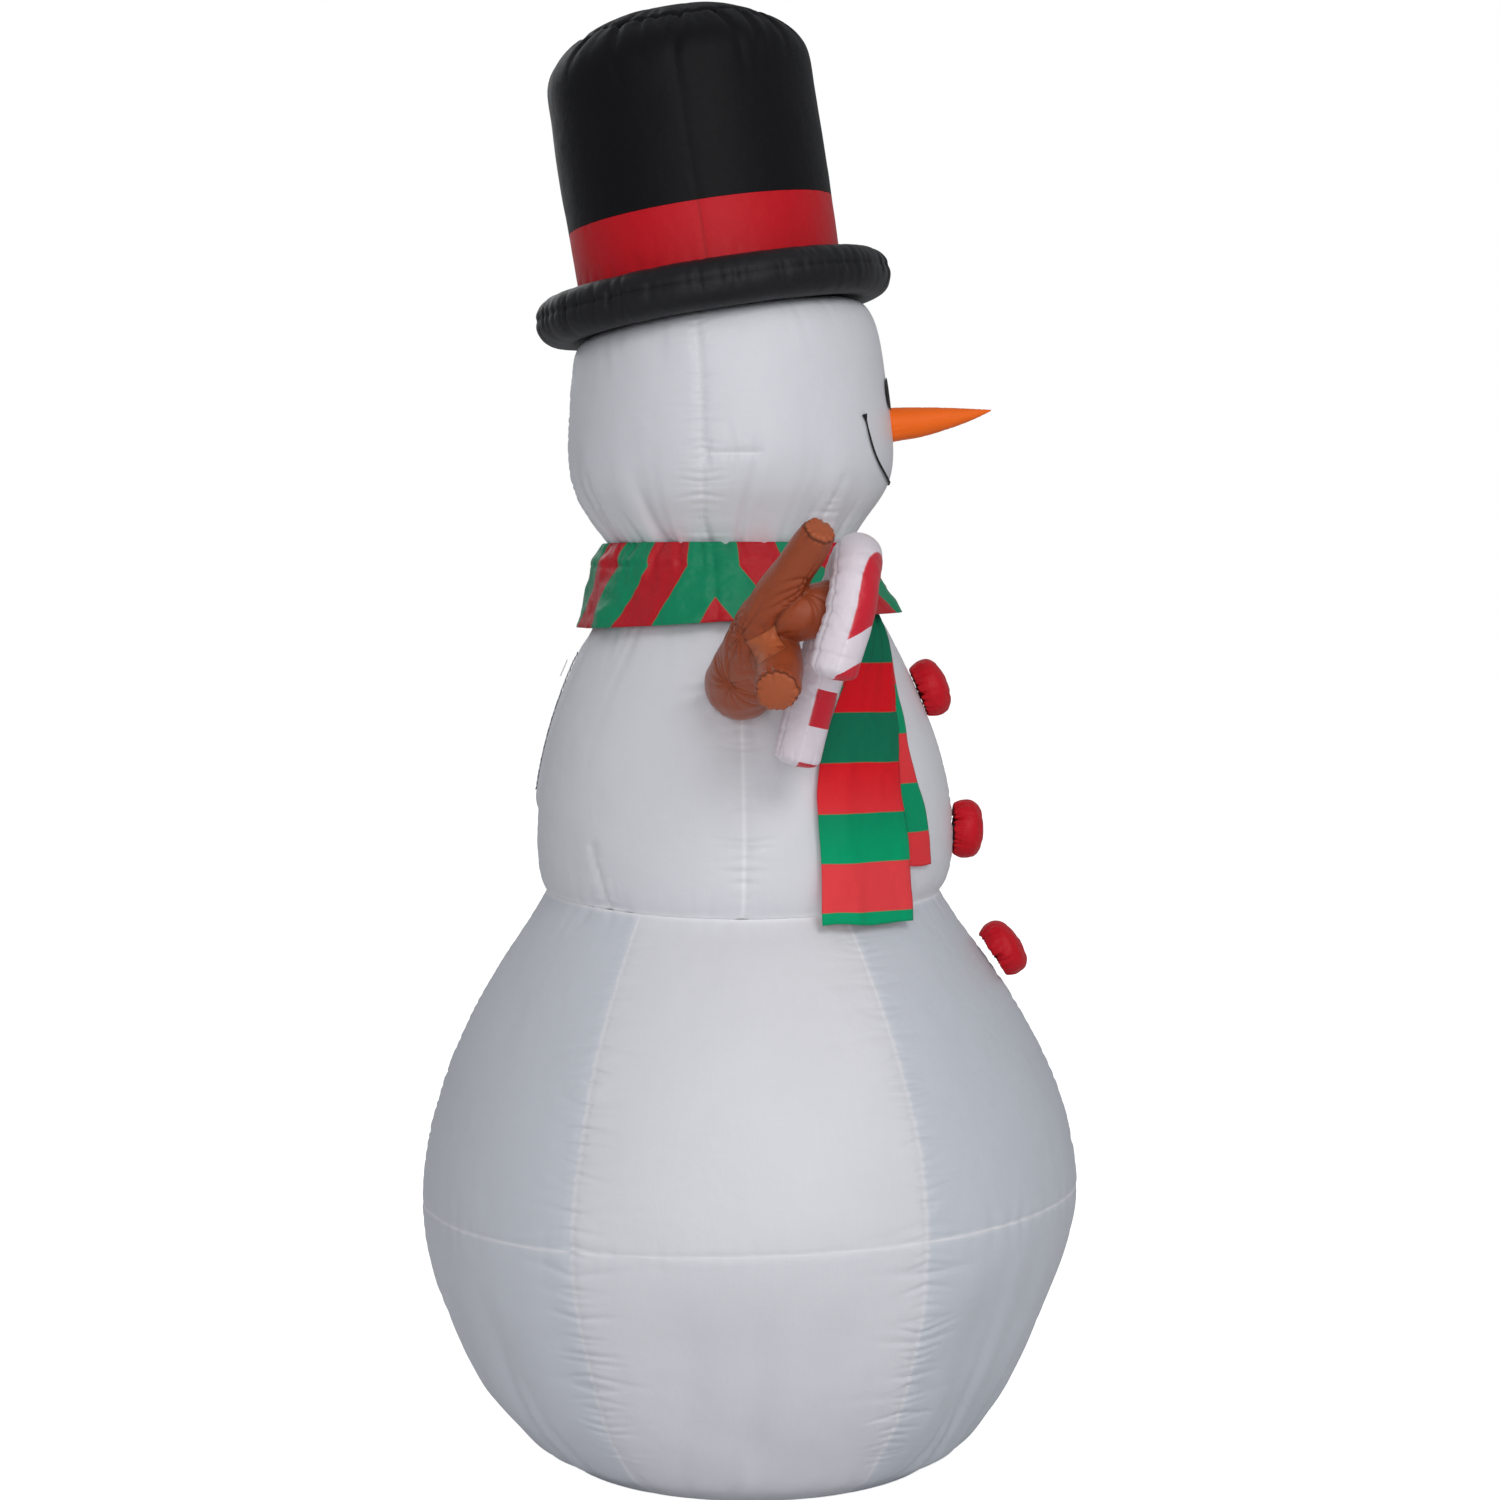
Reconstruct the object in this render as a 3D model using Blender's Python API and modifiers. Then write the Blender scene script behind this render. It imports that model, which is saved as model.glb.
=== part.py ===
"""Inflatable yard snowman, about 3.66 m (12 ft) tall.

Frame: metres, +Z up, origin on the ground at the centre of the base panel.
The snowman faces -Y, its right arm is on the -X side.
Fabric chambers are open skins with Solidify: the air from the blower in the
back of the lower ball passes through their open tops and bottoms.
"""
import math

import bmesh
import bpy
from mathutils import Matrix, Vector

CLOTH = 0.003       # wall of a fabric chamber
SIDES = 36          # facets round the big chambers

for old in list(bpy.data.objects):
    bpy.data.objects.remove(old, do_unlink=True)

PARTS = bpy.data.collections.new("inflatable_snowman")
CUTTERS = bpy.data.collections.new("cutters")
bpy.context.scene.collection.children.link(PARTS)
bpy.context.scene.collection.children.link(CUTTERS)


# ----------------------------------------------------------------- materials
def material(name, colour, roughness, metallic=0.0):
    made = bpy.data.materials.new(name)
    made.use_nodes = True
    inputs = made.node_tree.nodes["Principled BSDF"].inputs
    inputs["Base Color"].default_value = (*colour, 1.0)
    inputs["Roughness"].default_value = roughness
    inputs["Metallic"].default_value = metallic
    return made


WHITE = material("white_polyester", colour=(0.80, 0.80, 0.84), roughness=0.55)
BLACK = material("black_polyester", colour=(0.012, 0.012, 0.014), roughness=0.5)
RED = material("red_polyester", colour=(0.50, 0.012, 0.022), roughness=0.5)
GREEN = material("scarf_stripes", colour=(0.02, 0.28, 0.10), roughness=0.5)
BROWN = material("brown_polyester", colour=(0.17, 0.045, 0.02), roughness=0.45)
ORANGE = material("orange_polyester", colour=(0.86, 0.16, 0.02), roughness=0.5)
CANE_WHITE = material("cane_polyester", colour=(0.80, 0.77, 0.82), roughness=0.5)
INK = material("black_print", colour=(0.004, 0.004, 0.004), roughness=0.6)
PLASTIC = material("black_plastic", colour=(0.02, 0.02, 0.022), roughness=0.45)
GREY_PLASTIC = material("grey_plastic", colour=(0.25, 0.25, 0.26), roughness=0.4)
STEEL = material("plated_steel", colour=(0.6, 0.6, 0.6), roughness=0.3, metallic=1.0)
CABLE = material("cable", colour=(0.015, 0.03, 0.018), roughness=0.5)
LENS = material("lamp_lens", colour=(0.85, 0.85, 0.82), roughness=0.2)
WHITE_PLASTIC = material("white_plastic", colour=(0.78, 0.78, 0.80), roughness=0.4)


# ------------------------------------------------------------ placing helpers
def move(x, y, z):
    return Matrix.Translation((x, y, z))


def tip(degrees):
    """A turn about X; a negative one leans +Z towards the back."""
    return Matrix.Rotation(math.radians(degrees), 4, "X")


def spin(index, count, start=0.0):
    """The turn about Z that brings one of count evenly spaced copies into place."""
    return Matrix.Rotation(start + 2 * math.pi * index / count, 4, "Z")


def frame(x_axis, y_axis, z_axis, origin):
    matrix = Matrix((x_axis, y_axis, z_axis)).transposed().to_4x4()
    matrix.translation = origin
    return matrix


def pointed(direction, origin):
    """A frame whose +Z runs along the direction."""
    matrix = direction.to_track_quat("Z", "Y").to_matrix().to_4x4()
    matrix.translation = origin
    return matrix


def interpolate(table, z, column):
    """A column's value at height z, from rows that start with rising heights."""
    for low, high in zip(table, table[1:]):
        if low[0] <= z <= high[0]:
            share = (z - low[0]) / (high[0] - low[0])
            return low[column] + (high[column] - low[column]) * share
    return table[0][column] if z < table[0][0] else table[-1][column]


# ------------------------------------------------------------- object helpers
def add(shape, name, mat):
    """Link a BMesh or a mesh as a smooth object with sharp creases."""
    if isinstance(shape, bmesh.types.BMesh):
        mesh = bpy.data.meshes.new(name)
        shape.to_mesh(mesh)
        shape.free()
    else:
        mesh = shape
    obj = bpy.data.objects.new(name, mesh)
    PARTS.objects.link(obj)
    mesh.materials.clear()
    mesh.materials.append(mat)
    mesh.shade_smooth()
    mesh.set_sharp_from_angle(angle=math.radians(40))
    return obj


def modifier(obj, kind, **settings):
    made = obj.modifiers.new(kind.lower(), kind)
    for key, value in settings.items():
        setattr(made, key, value)


def baked(obj):
    """The evaluated mesh of an object in world space; the object is removed."""
    bpy.context.view_layer.update()
    graph = bpy.context.evaluated_depsgraph_get()
    mesh = bpy.data.meshes.new_from_object(obj.evaluated_get(graph))
    mesh.transform(obj.matrix_world)
    bpy.data.objects.remove(obj, do_unlink=True)
    return mesh


def cut(obj, cutter):
    """Subtract a live cutter, which is hidden in its own collection."""
    cutter.hide_render = True
    cutter.display_type = "WIRE"
    PARTS.objects.unlink(cutter)
    CUTTERS.objects.link(cutter)
    modifier(obj, "BOOLEAN", operation="DIFFERENCE", object=cutter, solver="EXACT")


def joined(name, objects, mat):
    """One body from overlapping solids, by Boolean union."""
    first, *others = objects
    for other in others:
        modifier(first, "BOOLEAN", operation="UNION", object=other, solver="EXACT")
    mesh = baked(first)
    for other in others:
        bpy.data.objects.remove(other, do_unlink=True)
    return add(mesh, name, mat)


# -------------------------------------------------------------- shape helpers
def bridged_circles(rings, sides):
    """Circles joined in turn by bands of faces; a ring is a matrix and a radius."""
    bm = bmesh.new()
    loops = []
    for matrix, radius in rings:
        made = bmesh.ops.create_circle(bm, cap_ends=False, radius=radius,
                                       segments=sides, matrix=matrix)
        loops.append(set(made["verts"]))
    for low, high in zip(loops, loops[1:]):
        edges = [e for e in bm.edges if set(e.verts) <= low or set(e.verts) <= high]
        bmesh.ops.bridge_loops(bm, edges=edges)
    return bm


def ring(z, radius, y=0.0, tilt=0.0):
    """A ring of a chamber from a table row; tilt in degrees."""
    return move(0, y, z) @ tip(tilt), radius


def chamber(name, rings, mat, sides=SIDES, wall=CLOTH):
    """A fabric skin, open at both ends, thickened inwards."""
    bm = bridged_circles(rings, sides)
    bmesh.ops.recalc_face_normals(bm, faces=bm.faces)
    outwardness = sum(f.normal.x * f.calc_center_median().x for f in bm.faces)
    if outwardness < 0:
        bmesh.ops.reverse_faces(bm, faces=bm.faces)
    obj = add(bm, name, mat)
    modifier(obj, "SOLIDIFY", thickness=wall, offset=-1.0, use_rim=True)
    return obj


def tube(name, stations, mat, sides):
    """A closed round tube through (point, radius) stations."""
    points = [Vector(point) for point, _ in stations]
    rings = []
    normal = None
    for i, (_, radius) in enumerate(stations):
        ahead = points[min(i + 1, len(points) - 1)] - points[max(i - 1, 0)]
        ahead.normalize()
        if normal is None:
            normal = ahead.orthogonal().normalized()
        # carry the last normal forward so that the tube doesn't twist
        normal = (normal - ahead * normal.dot(ahead)).normalized()
        rings.append((frame(normal, ahead.cross(normal), ahead, points[i]), radius))
    bm = bridged_circles(rings, sides)
    bmesh.ops.holes_fill(bm, edges=bm.edges, sides=0)
    bmesh.ops.recalc_face_normals(bm, faces=bm.faces)
    return add(bm, name, mat)


def turned(name, profile, mat, steps, matrix):
    """A (radius, height) profile turned about local Z."""
    mesh = bpy.data.meshes.new(name)
    edges = [(i, i + 1) for i in range(len(profile) - 1)]
    mesh.from_pydata([(radius, 0, height) for radius, height in profile], edges, [])
    mesh.materials.append(mat)
    obj = bpy.data.objects.new(name, mesh)
    PARTS.objects.link(obj)
    obj.matrix_world = matrix
    modifier(obj, "SCREW", steps=steps, render_steps=steps, use_merge_vertices=True,
             merge_threshold=0.0001)
    return obj


def cylinder(name, mat, radius, depth, matrix, sides, top_radius=None):
    bm = bmesh.new()
    bmesh.ops.create_cone(bm, cap_ends=True, segments=sides, radius1=radius,
                          radius2=radius if top_radius is None else top_radius, depth=depth)
    bmesh.ops.transform(bm, matrix=matrix, verts=bm.verts)
    return add(bm, name, mat)


def box(name, mat, size, matrix):
    bm = bmesh.new()
    bmesh.ops.create_cube(bm, size=1.0)
    bmesh.ops.scale(bm, vec=size, verts=bm.verts)
    bmesh.ops.transform(bm, matrix=matrix, verts=bm.verts)
    return add(bm, name, mat)


def unit_bar(axis, cuts):
    """A unit cube whose edges along one axis are subdivided, ready to be bent."""
    bm = bmesh.new()
    bmesh.ops.create_cube(bm, size=1.0)
    long_edges = [e for e in bm.edges if abs(e.verts[0].co[axis] - e.verts[1].co[axis]) > 0.5]
    bmesh.ops.subdivide_edges(bm, edges=long_edges, cuts=cuts, use_grid_fill=False)
    return bm


def torus(name, mat, major, minor, matrix, major_sides, minor_sides):
    bpy.ops.mesh.primitive_torus_add(major_radius=major, minor_radius=minor,
                                     major_segments=major_sides, minor_segments=minor_sides)
    raw = bpy.context.active_object
    mesh = raw.data
    mesh.transform(matrix)
    bpy.data.objects.remove(raw, do_unlink=True)
    return add(mesh, name, mat)


def wire(name, points, radius):
    """A cable through points, with capped ends."""
    curve = bpy.data.curves.new(name, "CURVE")
    curve.dimensions = "3D"
    spline = curve.splines.new("POLY")
    spline.points.add(len(points) - 1)
    for spline_point, point in zip(spline.points, points):
        spline_point.co = (*point, 1)
    curve.bevel_depth = radius
    curve.bevel_resolution = 1
    curve.use_fill_caps = True
    obj = bpy.data.objects.new(name, curve)
    PARTS.objects.link(obj)
    bm = bmesh.new()
    bm.from_mesh(baked(obj))
    # weld the caps to the tube
    bmesh.ops.remove_doubles(bm, verts=bm.verts, dist=0.00005)
    return add(bm, name, CABLE)


# ------------------------------------------------------------ body and head
BASE_R, BASE_THICK = 0.462, 0.004
# lower ball, below and above the seam round its widest part: height, radius
LOWER = [(0.0046, 0.464), (0.020, 0.486), (0.051, 0.541), (0.102, 0.592),
         (0.178, 0.651), (0.279, 0.709), (0.406, 0.762), (0.533, 0.803),
         (0.6676, 0.821)]
UPPER = [(0.6684, 0.821), (0.787, 0.808), (0.914, 0.774), (1.041, 0.723),
         (1.143, 0.669), (1.245, 0.605), (1.346, 0.537), (1.4135, 0.497)]
SET_BACK_FROM_Z = 0.9       # above this the lower ball's rings shift back evenly
# torso and neck: height, radius, set-back of the centre
TORSO = [(1.4185, 0.499, 0.018), (1.440, 0.509, 0.016), (1.489, 0.522, 0.014),
         (1.565, 0.527, 0.013), (1.641, 0.522, 0.014), (1.742, 0.504, 0.016),
         (1.843, 0.474, 0.019), (1.944, 0.433, 0.022), (2.045, 0.385, 0.026),
         (2.120, 0.345, 0.031), (2.165, 0.312, 0.036)]
NECK = [(2.1695, 0.305, 0.037), (2.200, 0.276, 0.040), (2.235, 0.268, 0.044)]
# head: height, radius, set-back, tilt of the section in degrees
HEAD = [(2.239, 0.268, 0.045, 0), (2.262, 0.283, 0.050, 0), (2.300, 0.313, 0.055, 0),
        (2.350, 0.349, 0.057, 0), (2.400, 0.3825, 0.054, 0), (2.450, 0.403, 0.050, 0),
        (2.505, 0.411, 0.049, 0), (2.575, 0.409, 0.050, -0.5), (2.640, 0.403, 0.053, -2),
        (2.700, 0.398, 0.057, -4), (2.755, 0.392, 0.061, -6), (2.805, 0.382, 0.068, -8),
        (2.838, 0.362, 0.074, -8.8), (2.852, 0.330, 0.078, -8.8), (2.858, 0.270, 0.080, -8.8)]

WAIST_Y = TORSO[0][2]
NECK_Y = NECK[0][2]
NECK_SIDES = 24


def build_skins():
    cylinder("base_panel", WHITE, BASE_R, BASE_THICK, move(0, 0, BASE_THICK / 2), SIDES)
    lower_panels = chamber("lower_body_bottom_panels", [ring(*row) for row in LOWER], WHITE)
    set_back_rise = UPPER[-1][0] - SET_BACK_FROM_Z
    upper_rings = [ring(z, radius, WAIST_Y * max(0, z - SET_BACK_FROM_Z) / set_back_rise)
                   for z, radius in UPPER]
    chamber("lower_body_top_panels", upper_rings, WHITE)
    chamber("torso_skin", [ring(*row) for row in TORSO], WHITE)
    chamber("neck_sleeve", [ring(*row) for row in NECK], WHITE, sides=NECK_SIDES)
    chamber("head_skin", [ring(*row) for row in HEAD], WHITE)
    return lower_panels


# -------------------------------------------------- waist and neck diaphragms
BAFFLE_THICK = 0.0016
BAFFLE_CUT_DEPTH = 0.05
WAIST_BAFFLE_R, WAIST_BAFFLE_Z = 0.486, 1.416
WAIST_HOLE_R, WAIST_HOLE_CIRCLE_R, WAIST_HOLES = 0.075, 0.30, 6
CABLE_HOLE_R = 0.05
NECK_BAFFLE_R, NECK_BAFFLE_Z = 0.298, 2.1674
NECK_HOLE_R, NECK_HOLE_Z = 0.13, 2.167


def build_baffles():
    """Diaphragms that hold the waist and the neck in, with holes for the air."""
    waist = cylinder("waist_baffle", WHITE, WAIST_BAFFLE_R, BAFFLE_THICK,
                     move(0, WAIST_Y, WAIST_BAFFLE_Z), SIDES)
    for k in range(WAIST_HOLES):
        angle = 2 * math.pi * k / WAIST_HOLES
        place = move(WAIST_HOLE_CIRCLE_R * math.cos(angle),
                     WAIST_Y + WAIST_HOLE_CIRCLE_R * math.sin(angle), WAIST_BAFFLE_Z)
        cut(waist, cylinder("waist_hole", WHITE, WAIST_HOLE_R, BAFFLE_CUT_DEPTH, place, 12))
    cut(waist, cylinder("waist_cable_hole", WHITE, CABLE_HOLE_R, BAFFLE_CUT_DEPTH,
                        move(0, WAIST_Y, WAIST_BAFFLE_Z), 12))

    neck = cylinder("neck_baffle", WHITE, NECK_BAFFLE_R, BAFFLE_THICK,
                    move(0, NECK_Y, NECK_BAFFLE_Z), NECK_SIDES)
    cut(neck, cylinder("neck_hole", WHITE, NECK_HOLE_R, BAFFLE_CUT_DEPTH,
                       move(0, NECK_Y, NECK_HOLE_Z), 16))


# ------------------------------------------------------------------- top hat
HAT = move(0.0, 0.092, 2.899) @ tip(-8.8)     # centre of the brim; the hat leans back
BRIM_R, BRIM_TUBE, BRIM_HALF_H = 0.392, 0.060, 0.058
CROWN_R = 0.336
# distance along the hat's axis, radius
HAT_BAND = [(0.062, 0.334), (0.15, 0.335), (0.236, CROWN_R)]
HAT_CROWN = [(0.2368, CROWN_R), (0.41, 0.339), (0.585, 0.336)]
DOME_AT, DOME_H = 0.5875, 0.176               # place of the domed top panel, its height
# radius, drop below the dome's peak; the last point is on the dome's base
DOME = [(0.0, 0.0), (0.08, 0.003), (0.16, 0.016), (0.235, 0.047), (0.295, 0.095),
        (0.325, DOME_H - 0.140 - DOME_H + 0.176), (CROWN_R, DOME_H)]
DOME[5] = (0.325, 0.140)


def build_hat():
    torus("hat_brim", BLACK, BRIM_R, BRIM_TUBE,
          HAT @ Matrix.Diagonal((1, 1, BRIM_HALF_H / BRIM_TUBE, 1)), 36, 10)
    for name, table, mat in (("hat_band", HAT_BAND, RED), ("hat_crown", HAT_CROWN, BLACK)):
        chamber(name, [(HAT @ move(0, 0, along), radius) for along, radius in table], mat)
    profile = [(radius, DOME_H - drop) for radius, drop in DOME]
    hat_top = turned("hat_top", profile, BLACK, SIDES, HAT @ move(0, 0, DOME_AT))
    modifier(hat_top, "SOLIDIFY", thickness=CLOTH, offset=-1.0, use_rim=True)


# ---------------------------------------------------------------------- face
NOSE_ROOT = Vector((0, -0.3585, 2.588))
NOSE_RISE = 6.5             # degrees above level
NOSE_CLEARANCE = 0.004      # from the root to the nose's back
# distance out, radius, lift
NOSE = [(0.0, 0.043, 0.0), (0.06, 0.039, -0.001), (0.12, 0.031, 0.0),
        (0.175, 0.021, 0.002), (0.22, 0.011, 0.005), (0.250, 0.0025, 0.008)]

EYE_W, EYE_H, EYE_THICK = 0.066, 0.082, 0.002
EYE_ANGLE, EYE_Z = 9.0, 2.662         # degrees from the front, height
EYE_LEAN = 0.085                      # set-back per unit of rise
EYE_OFFSET = 0.0052                   # from the head's skin to the eye's middle

SMILE_TUBE_R = 0.0032
SMILE_HALF_ANGLE, SMILE_HALF_STEPS = 36.0, 8
SMILE_Z, SMILE_RISE = 2.441, 0.160
SMILE_OFFSET = 0.0070


def head_at(angle, z):
    """A point on the head's skin, and the way out; angle in degrees from the front to -X."""
    radius, y, tilt = (interpolate(HEAD, z, column) for column in (1, 2, 3))
    bearing = math.radians(angle)
    out = Vector((-math.sin(bearing), -math.cos(bearing), 0))
    return Vector((0, y, z)) + tip(tilt).to_3x3() @ (out * radius), out


def build_nose():
    rise = math.radians(NOSE_RISE)
    way = Vector((0, -math.cos(rise), math.sin(rise)))
    tube("nose", [(NOSE_ROOT + way * (along + NOSE_CLEARANCE) + Vector((0, 0, lift)), radius)
                  for along, radius, lift in NOSE], ORANGE, 16)


def build_eye(side, sign):
    """An oval disc on the head's skin."""
    centre, head_out = head_at(EYE_ANGLE * sign, EYE_Z)
    across = Vector((0, 0, 1)).cross(head_out)
    up = Vector((0, EYE_LEAN, 1)).normalized()
    out = across.cross(up).normalized()
    place = frame(across, up, out, centre + out * EYE_OFFSET)
    cylinder("eye_" + side, INK, 0.5, EYE_THICK,
             place @ Matrix.Diagonal((EYE_W, EYE_H, 1, 1)), 20)


def build_smile():
    """A wide U: flat under the nose, its ends rising steeply."""
    stations = []
    for k in range(-SMILE_HALF_STEPS, SMILE_HALF_STEPS + 1):
        share = abs(k) / SMILE_HALF_STEPS
        rise = 0.55 * share ** 2.6 + 0.45 * share ** 14
        point, out = head_at(SMILE_HALF_ANGLE * k / SMILE_HALF_STEPS,
                             SMILE_Z + SMILE_RISE * rise)
        stations.append((point + out * SMILE_OFFSET, SMILE_TUBE_R))
    tube("smile", stations, INK, 6)


# ------------------------------------------------------------------- buttons
# radius, height above the button's back
BUTTON_PROFILE = [(0.0, 0.080), (0.028, 0.078), (0.054, 0.070), (0.071, 0.055),
                  (0.0755, 0.037), (0.071, 0.018), (0.060, 0.004), (0.0, 0.004)]
# y, z of the middle of each button's back, and its upward tilt in degrees
BUTTONS = {"button_top": (-0.4315, 1.913, 22.0), "button_middle": (-0.5185, 1.567, -1.0),
           "button_bottom": (-0.6190, 1.250, 34.0)}


def build_buttons():
    for name, (y, z, tilt) in BUTTONS.items():
        turned(name, BUTTON_PROFILE, RED, 16, move(0, y, z) @ tip(90 - tilt))


# --------------------------------------------------------------- branch arms
# right arm: point, radius; the left arm is its mirror image
TRUNK = [((-0.456, 0.023, 1.942), 0.074), ((-0.520, 0.018, 1.954), 0.088),
         ((-0.610, -0.004, 1.996), 0.086), ((-0.700, -0.020, 2.048), 0.080),
         ((-0.790, -0.042, 2.108), 0.070)]
TWIGS = {
    "upper": [((-0.760, -0.034, 2.085), 0.064), ((-0.850, -0.076, 2.180), 0.050),
              ((-0.920, -0.130, 2.262), 0.043), ((-0.952, -0.154, 2.300), 0.039)],
    "front": [((-0.765, -0.030, 2.088), 0.060), ((-0.826, -0.085, 2.104), 0.062),
              ((-0.813, -0.188, 2.132), 0.062)],
    "lower": [((-0.740, -0.045, 2.060), 0.060), ((-0.830, -0.064, 2.000), 0.0565),
              ((-0.930, -0.060, 1.945), 0.0515)]}
ARM_SIDES = 12
CAP_THICK, CAP_OFFSET, CAP_TAPER = 0.010, 0.0058, 0.72


def build_arm(side, mirror):
    def placed(stations):
        return [(Vector((mirror * x, y, z)), radius) for (x, y, z), radius in stations]

    bits = [tube("bit", placed(stations), BROWN, ARM_SIDES)
            for stations in (TRUNK, *TWIGS.values())]
    joined(side + "_arm_branch", bits, BROWN)
    # the round end panels sewn into the ends of the twigs
    for twig, stations in TWIGS.items():
        (before, _), (end, radius) = placed(stations)[-2:]
        way = (end - before).normalized()
        cylinder(side + "_arm_cap_" + twig, BROWN, radius, CAP_THICK,
                 pointed(way, end + way * CAP_OFFSET), ARM_SIDES,
                 top_radius=radius * CAP_TAPER)


# --------------------------------------------------------------- candy cane
CANE_R, CANE_END_R = 0.0555, 0.0444
CANE_X, HOOK_Y = -0.660, -0.200
HOOK_R, HOOK_Z = 0.134, 2.112
HOOK_STEPS = 8
HOOK_BULGE, HOOK_DRIFT = 0.033, 0.020         # how far the hook bows and drifts forwards


def build_cane():
    points = [Vector((CANE_X, y, z)) for y, z in
              ((-0.102, 1.760), (-0.132, 1.880), (-0.165, 2.000), (HOOK_Y, HOOK_Z))]
    for k in range(1, HOOK_STEPS + 1):
        angle = math.pi * k / HOOK_STEPS
        points.append(Vector((
            CANE_X - HOOK_R + HOOK_R * math.cos(angle),
            HOOK_Y - HOOK_BULGE * math.sin(angle) - HOOK_DRIFT * k / HOOK_STEPS,
            HOOK_Z + HOOK_R * math.sin(angle))))
    points += [Vector((CANE_X - 2 * HOOK_R, -0.197, 2.035)), Vector((-0.927, -0.180, 1.968))]
    # full radius is reached a little way in from each end
    points.insert(1, points[0].lerp(points[1], 0.16))
    points.insert(-1, points[-1].lerp(points[-2], 0.2))
    radii = [CANE_END_R] + [CANE_R] * (len(points) - 2) + [CANE_END_R]
    tube("candy_cane", list(zip(points, radii)), CANE_WHITE, 12)


# -------------------------------------------------------------------- scarf
# height, radius, set-back, tilt in degrees
COLLAR = [(2.286, 0.3145, 0.052, 0), (2.270, 0.331, 0.050, 0), (2.230, 0.354, 0.045, 0),
          (2.165, 0.380, 0.038, -1.5), (2.094, 0.407, 0.030, -2.7)]
COLLAR_WALL = 0.0025
# tails: height, bearing of the middle in degrees from -X towards the front, width
LONG_TAIL = [(2.118, 61.0, 0.100), (2.060, 57.0, 0.120), (1.960, 46.0, 0.165),
             (1.860, 38.0, 0.205), (1.780, 34.0, 0.228), (1.700, 32.0, 0.240),
             (1.540, 32.5, 0.252), (1.376, 34.0, 0.262)]
SHORT_TAIL = [(2.118, 63.0, 0.100), (2.060, 61.0, 0.130), (1.985, 51.0, 0.180),
              (1.860, 42.0, 0.225), (1.760, 40.0, 0.240), (1.650, 40.5, 0.250),
              (1.504, 42.0, 0.262)]
SHORT_TAIL_LIFT, LONG_TAIL_LIFT = 0.0065, 0.0150    # inner face above the torso
TAIL_THICK = 0.002
TAIL_ROWS, TAIL_COLUMNS = 14, 5
BULGE_Z, BULGE_R = TORSO[3][:2]


def drape_radius(z):
    """Radius of the drape over the torso: below the bulge the cloth hangs straight."""
    return BULGE_R if z < BULGE_Z else interpolate(TORSO, z, 1)


def scarf_tail(name, table, lift):
    """A flat strip laid over the torso."""
    rising = table[::-1]
    top, bottom = table[0][0], table[-1][0]
    bm = bmesh.new()
    bmesh.ops.create_grid(bm, x_segments=TAIL_COLUMNS, y_segments=TAIL_ROWS, size=0.5)
    for v in bm.verts:
        across, down = v.co.x, 0.5 - v.co.y
        z = top + (bottom - top) * down
        radius = drape_radius(z) + lift
        width = interpolate(rising, z, 2)
        angle = math.radians(interpolate(rising, z, 1)) + across * width / radius
        v.co = Vector((-radius * math.cos(angle),
                       interpolate(TORSO, z, 2) - radius * math.sin(angle), z))
    bmesh.ops.recalc_face_normals(bm, faces=bm.faces)
    bm.faces.ensure_lookup_table()
    # the faces must look outwards, to the right and the front
    if bm.faces[0].normal.dot(Vector((-1, -0.7, 0))) < 0:
        bmesh.ops.reverse_faces(bm, faces=bm.faces)
    tail = add(bm, name, GREEN)
    modifier(tail, "SOLIDIFY", thickness=TAIL_THICK, offset=1.0, use_rim=True)


def build_scarf():
    chamber("scarf_collar", [ring(*row) for row in COLLAR], GREEN, wall=COLLAR_WALL)
    scarf_tail("scarf_tail_short", SHORT_TAIL, SHORT_TAIL_LIFT)
    scarf_tail("scarf_tail_long", LONG_TAIL, LONG_TAIL_LIFT)


# ------------------------------------------------- zip fastener on the back
ZIP_Y, ZIP_Z = -0.649, 1.494            # centre of the curve of the torso's back
TAPE_R = 1.197 + 0.0045                 # that curve's radius, and the tape's clearance
SLIDER_R = TAPE_R + 0.0046              # underside of the slider
ZIP_CUTS = 9


def on_zip(angle, radius):
    """A frame on the zip curve: +Y points out of the back, +Z up along the tape."""
    bearing = math.radians(angle)
    return move(0, ZIP_Y + radius * math.cos(bearing),
                ZIP_Z + radius * math.sin(bearing)) @ tip(angle)


def zip_strip(name, mat, half_width, low, high, from_angle, to_angle):
    """A strip that follows the back of the torso between two radii of the zip curve."""
    bm = unit_bar(axis=2, cuts=ZIP_CUTS)
    for v in bm.verts:
        angle = math.radians(from_angle + (to_angle - from_angle) * (v.co.z + 0.5))
        radius = low if v.co.y < 0 else high
        v.co = Vector((v.co.x * 2 * half_width, ZIP_Y + radius * math.cos(angle),
                       ZIP_Z + radius * math.sin(angle)))
    bmesh.ops.recalc_face_normals(bm, faces=bm.faces)
    add(bm, name, mat)


def build_zip():
    zip_strip("zipper_tape", WHITE, half_width=0.018, low=TAPE_R, high=TAPE_R + 0.0016,
              from_angle=8.2, to_angle=25.6)
    zip_strip("zipper_teeth", WHITE_PLASTIC, half_width=0.0035, low=TAPE_R + 0.0021,
              high=TAPE_R + 0.0041, from_angle=8.6, to_angle=25.2)
    plate = box("plate", STEEL, (0.011, 0.005, 0.020), on_zip(24.3, SLIDER_R + 0.0025))
    bridge = box("bridge", STEEL, (0.0035, 0.006, 0.012), on_zip(24.3, SLIDER_R + 0.0070))
    joined("zipper_slider", [plate, bridge], STEEL)
    pull = box("zipper_pull", WHITE_PLASTIC, (0.010, 0.0022, 0.046),
               on_zip(23.15, SLIDER_R + 0.0123))
    modifier(pull, "BEVEL", width=0.0008, segments=1)


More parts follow.
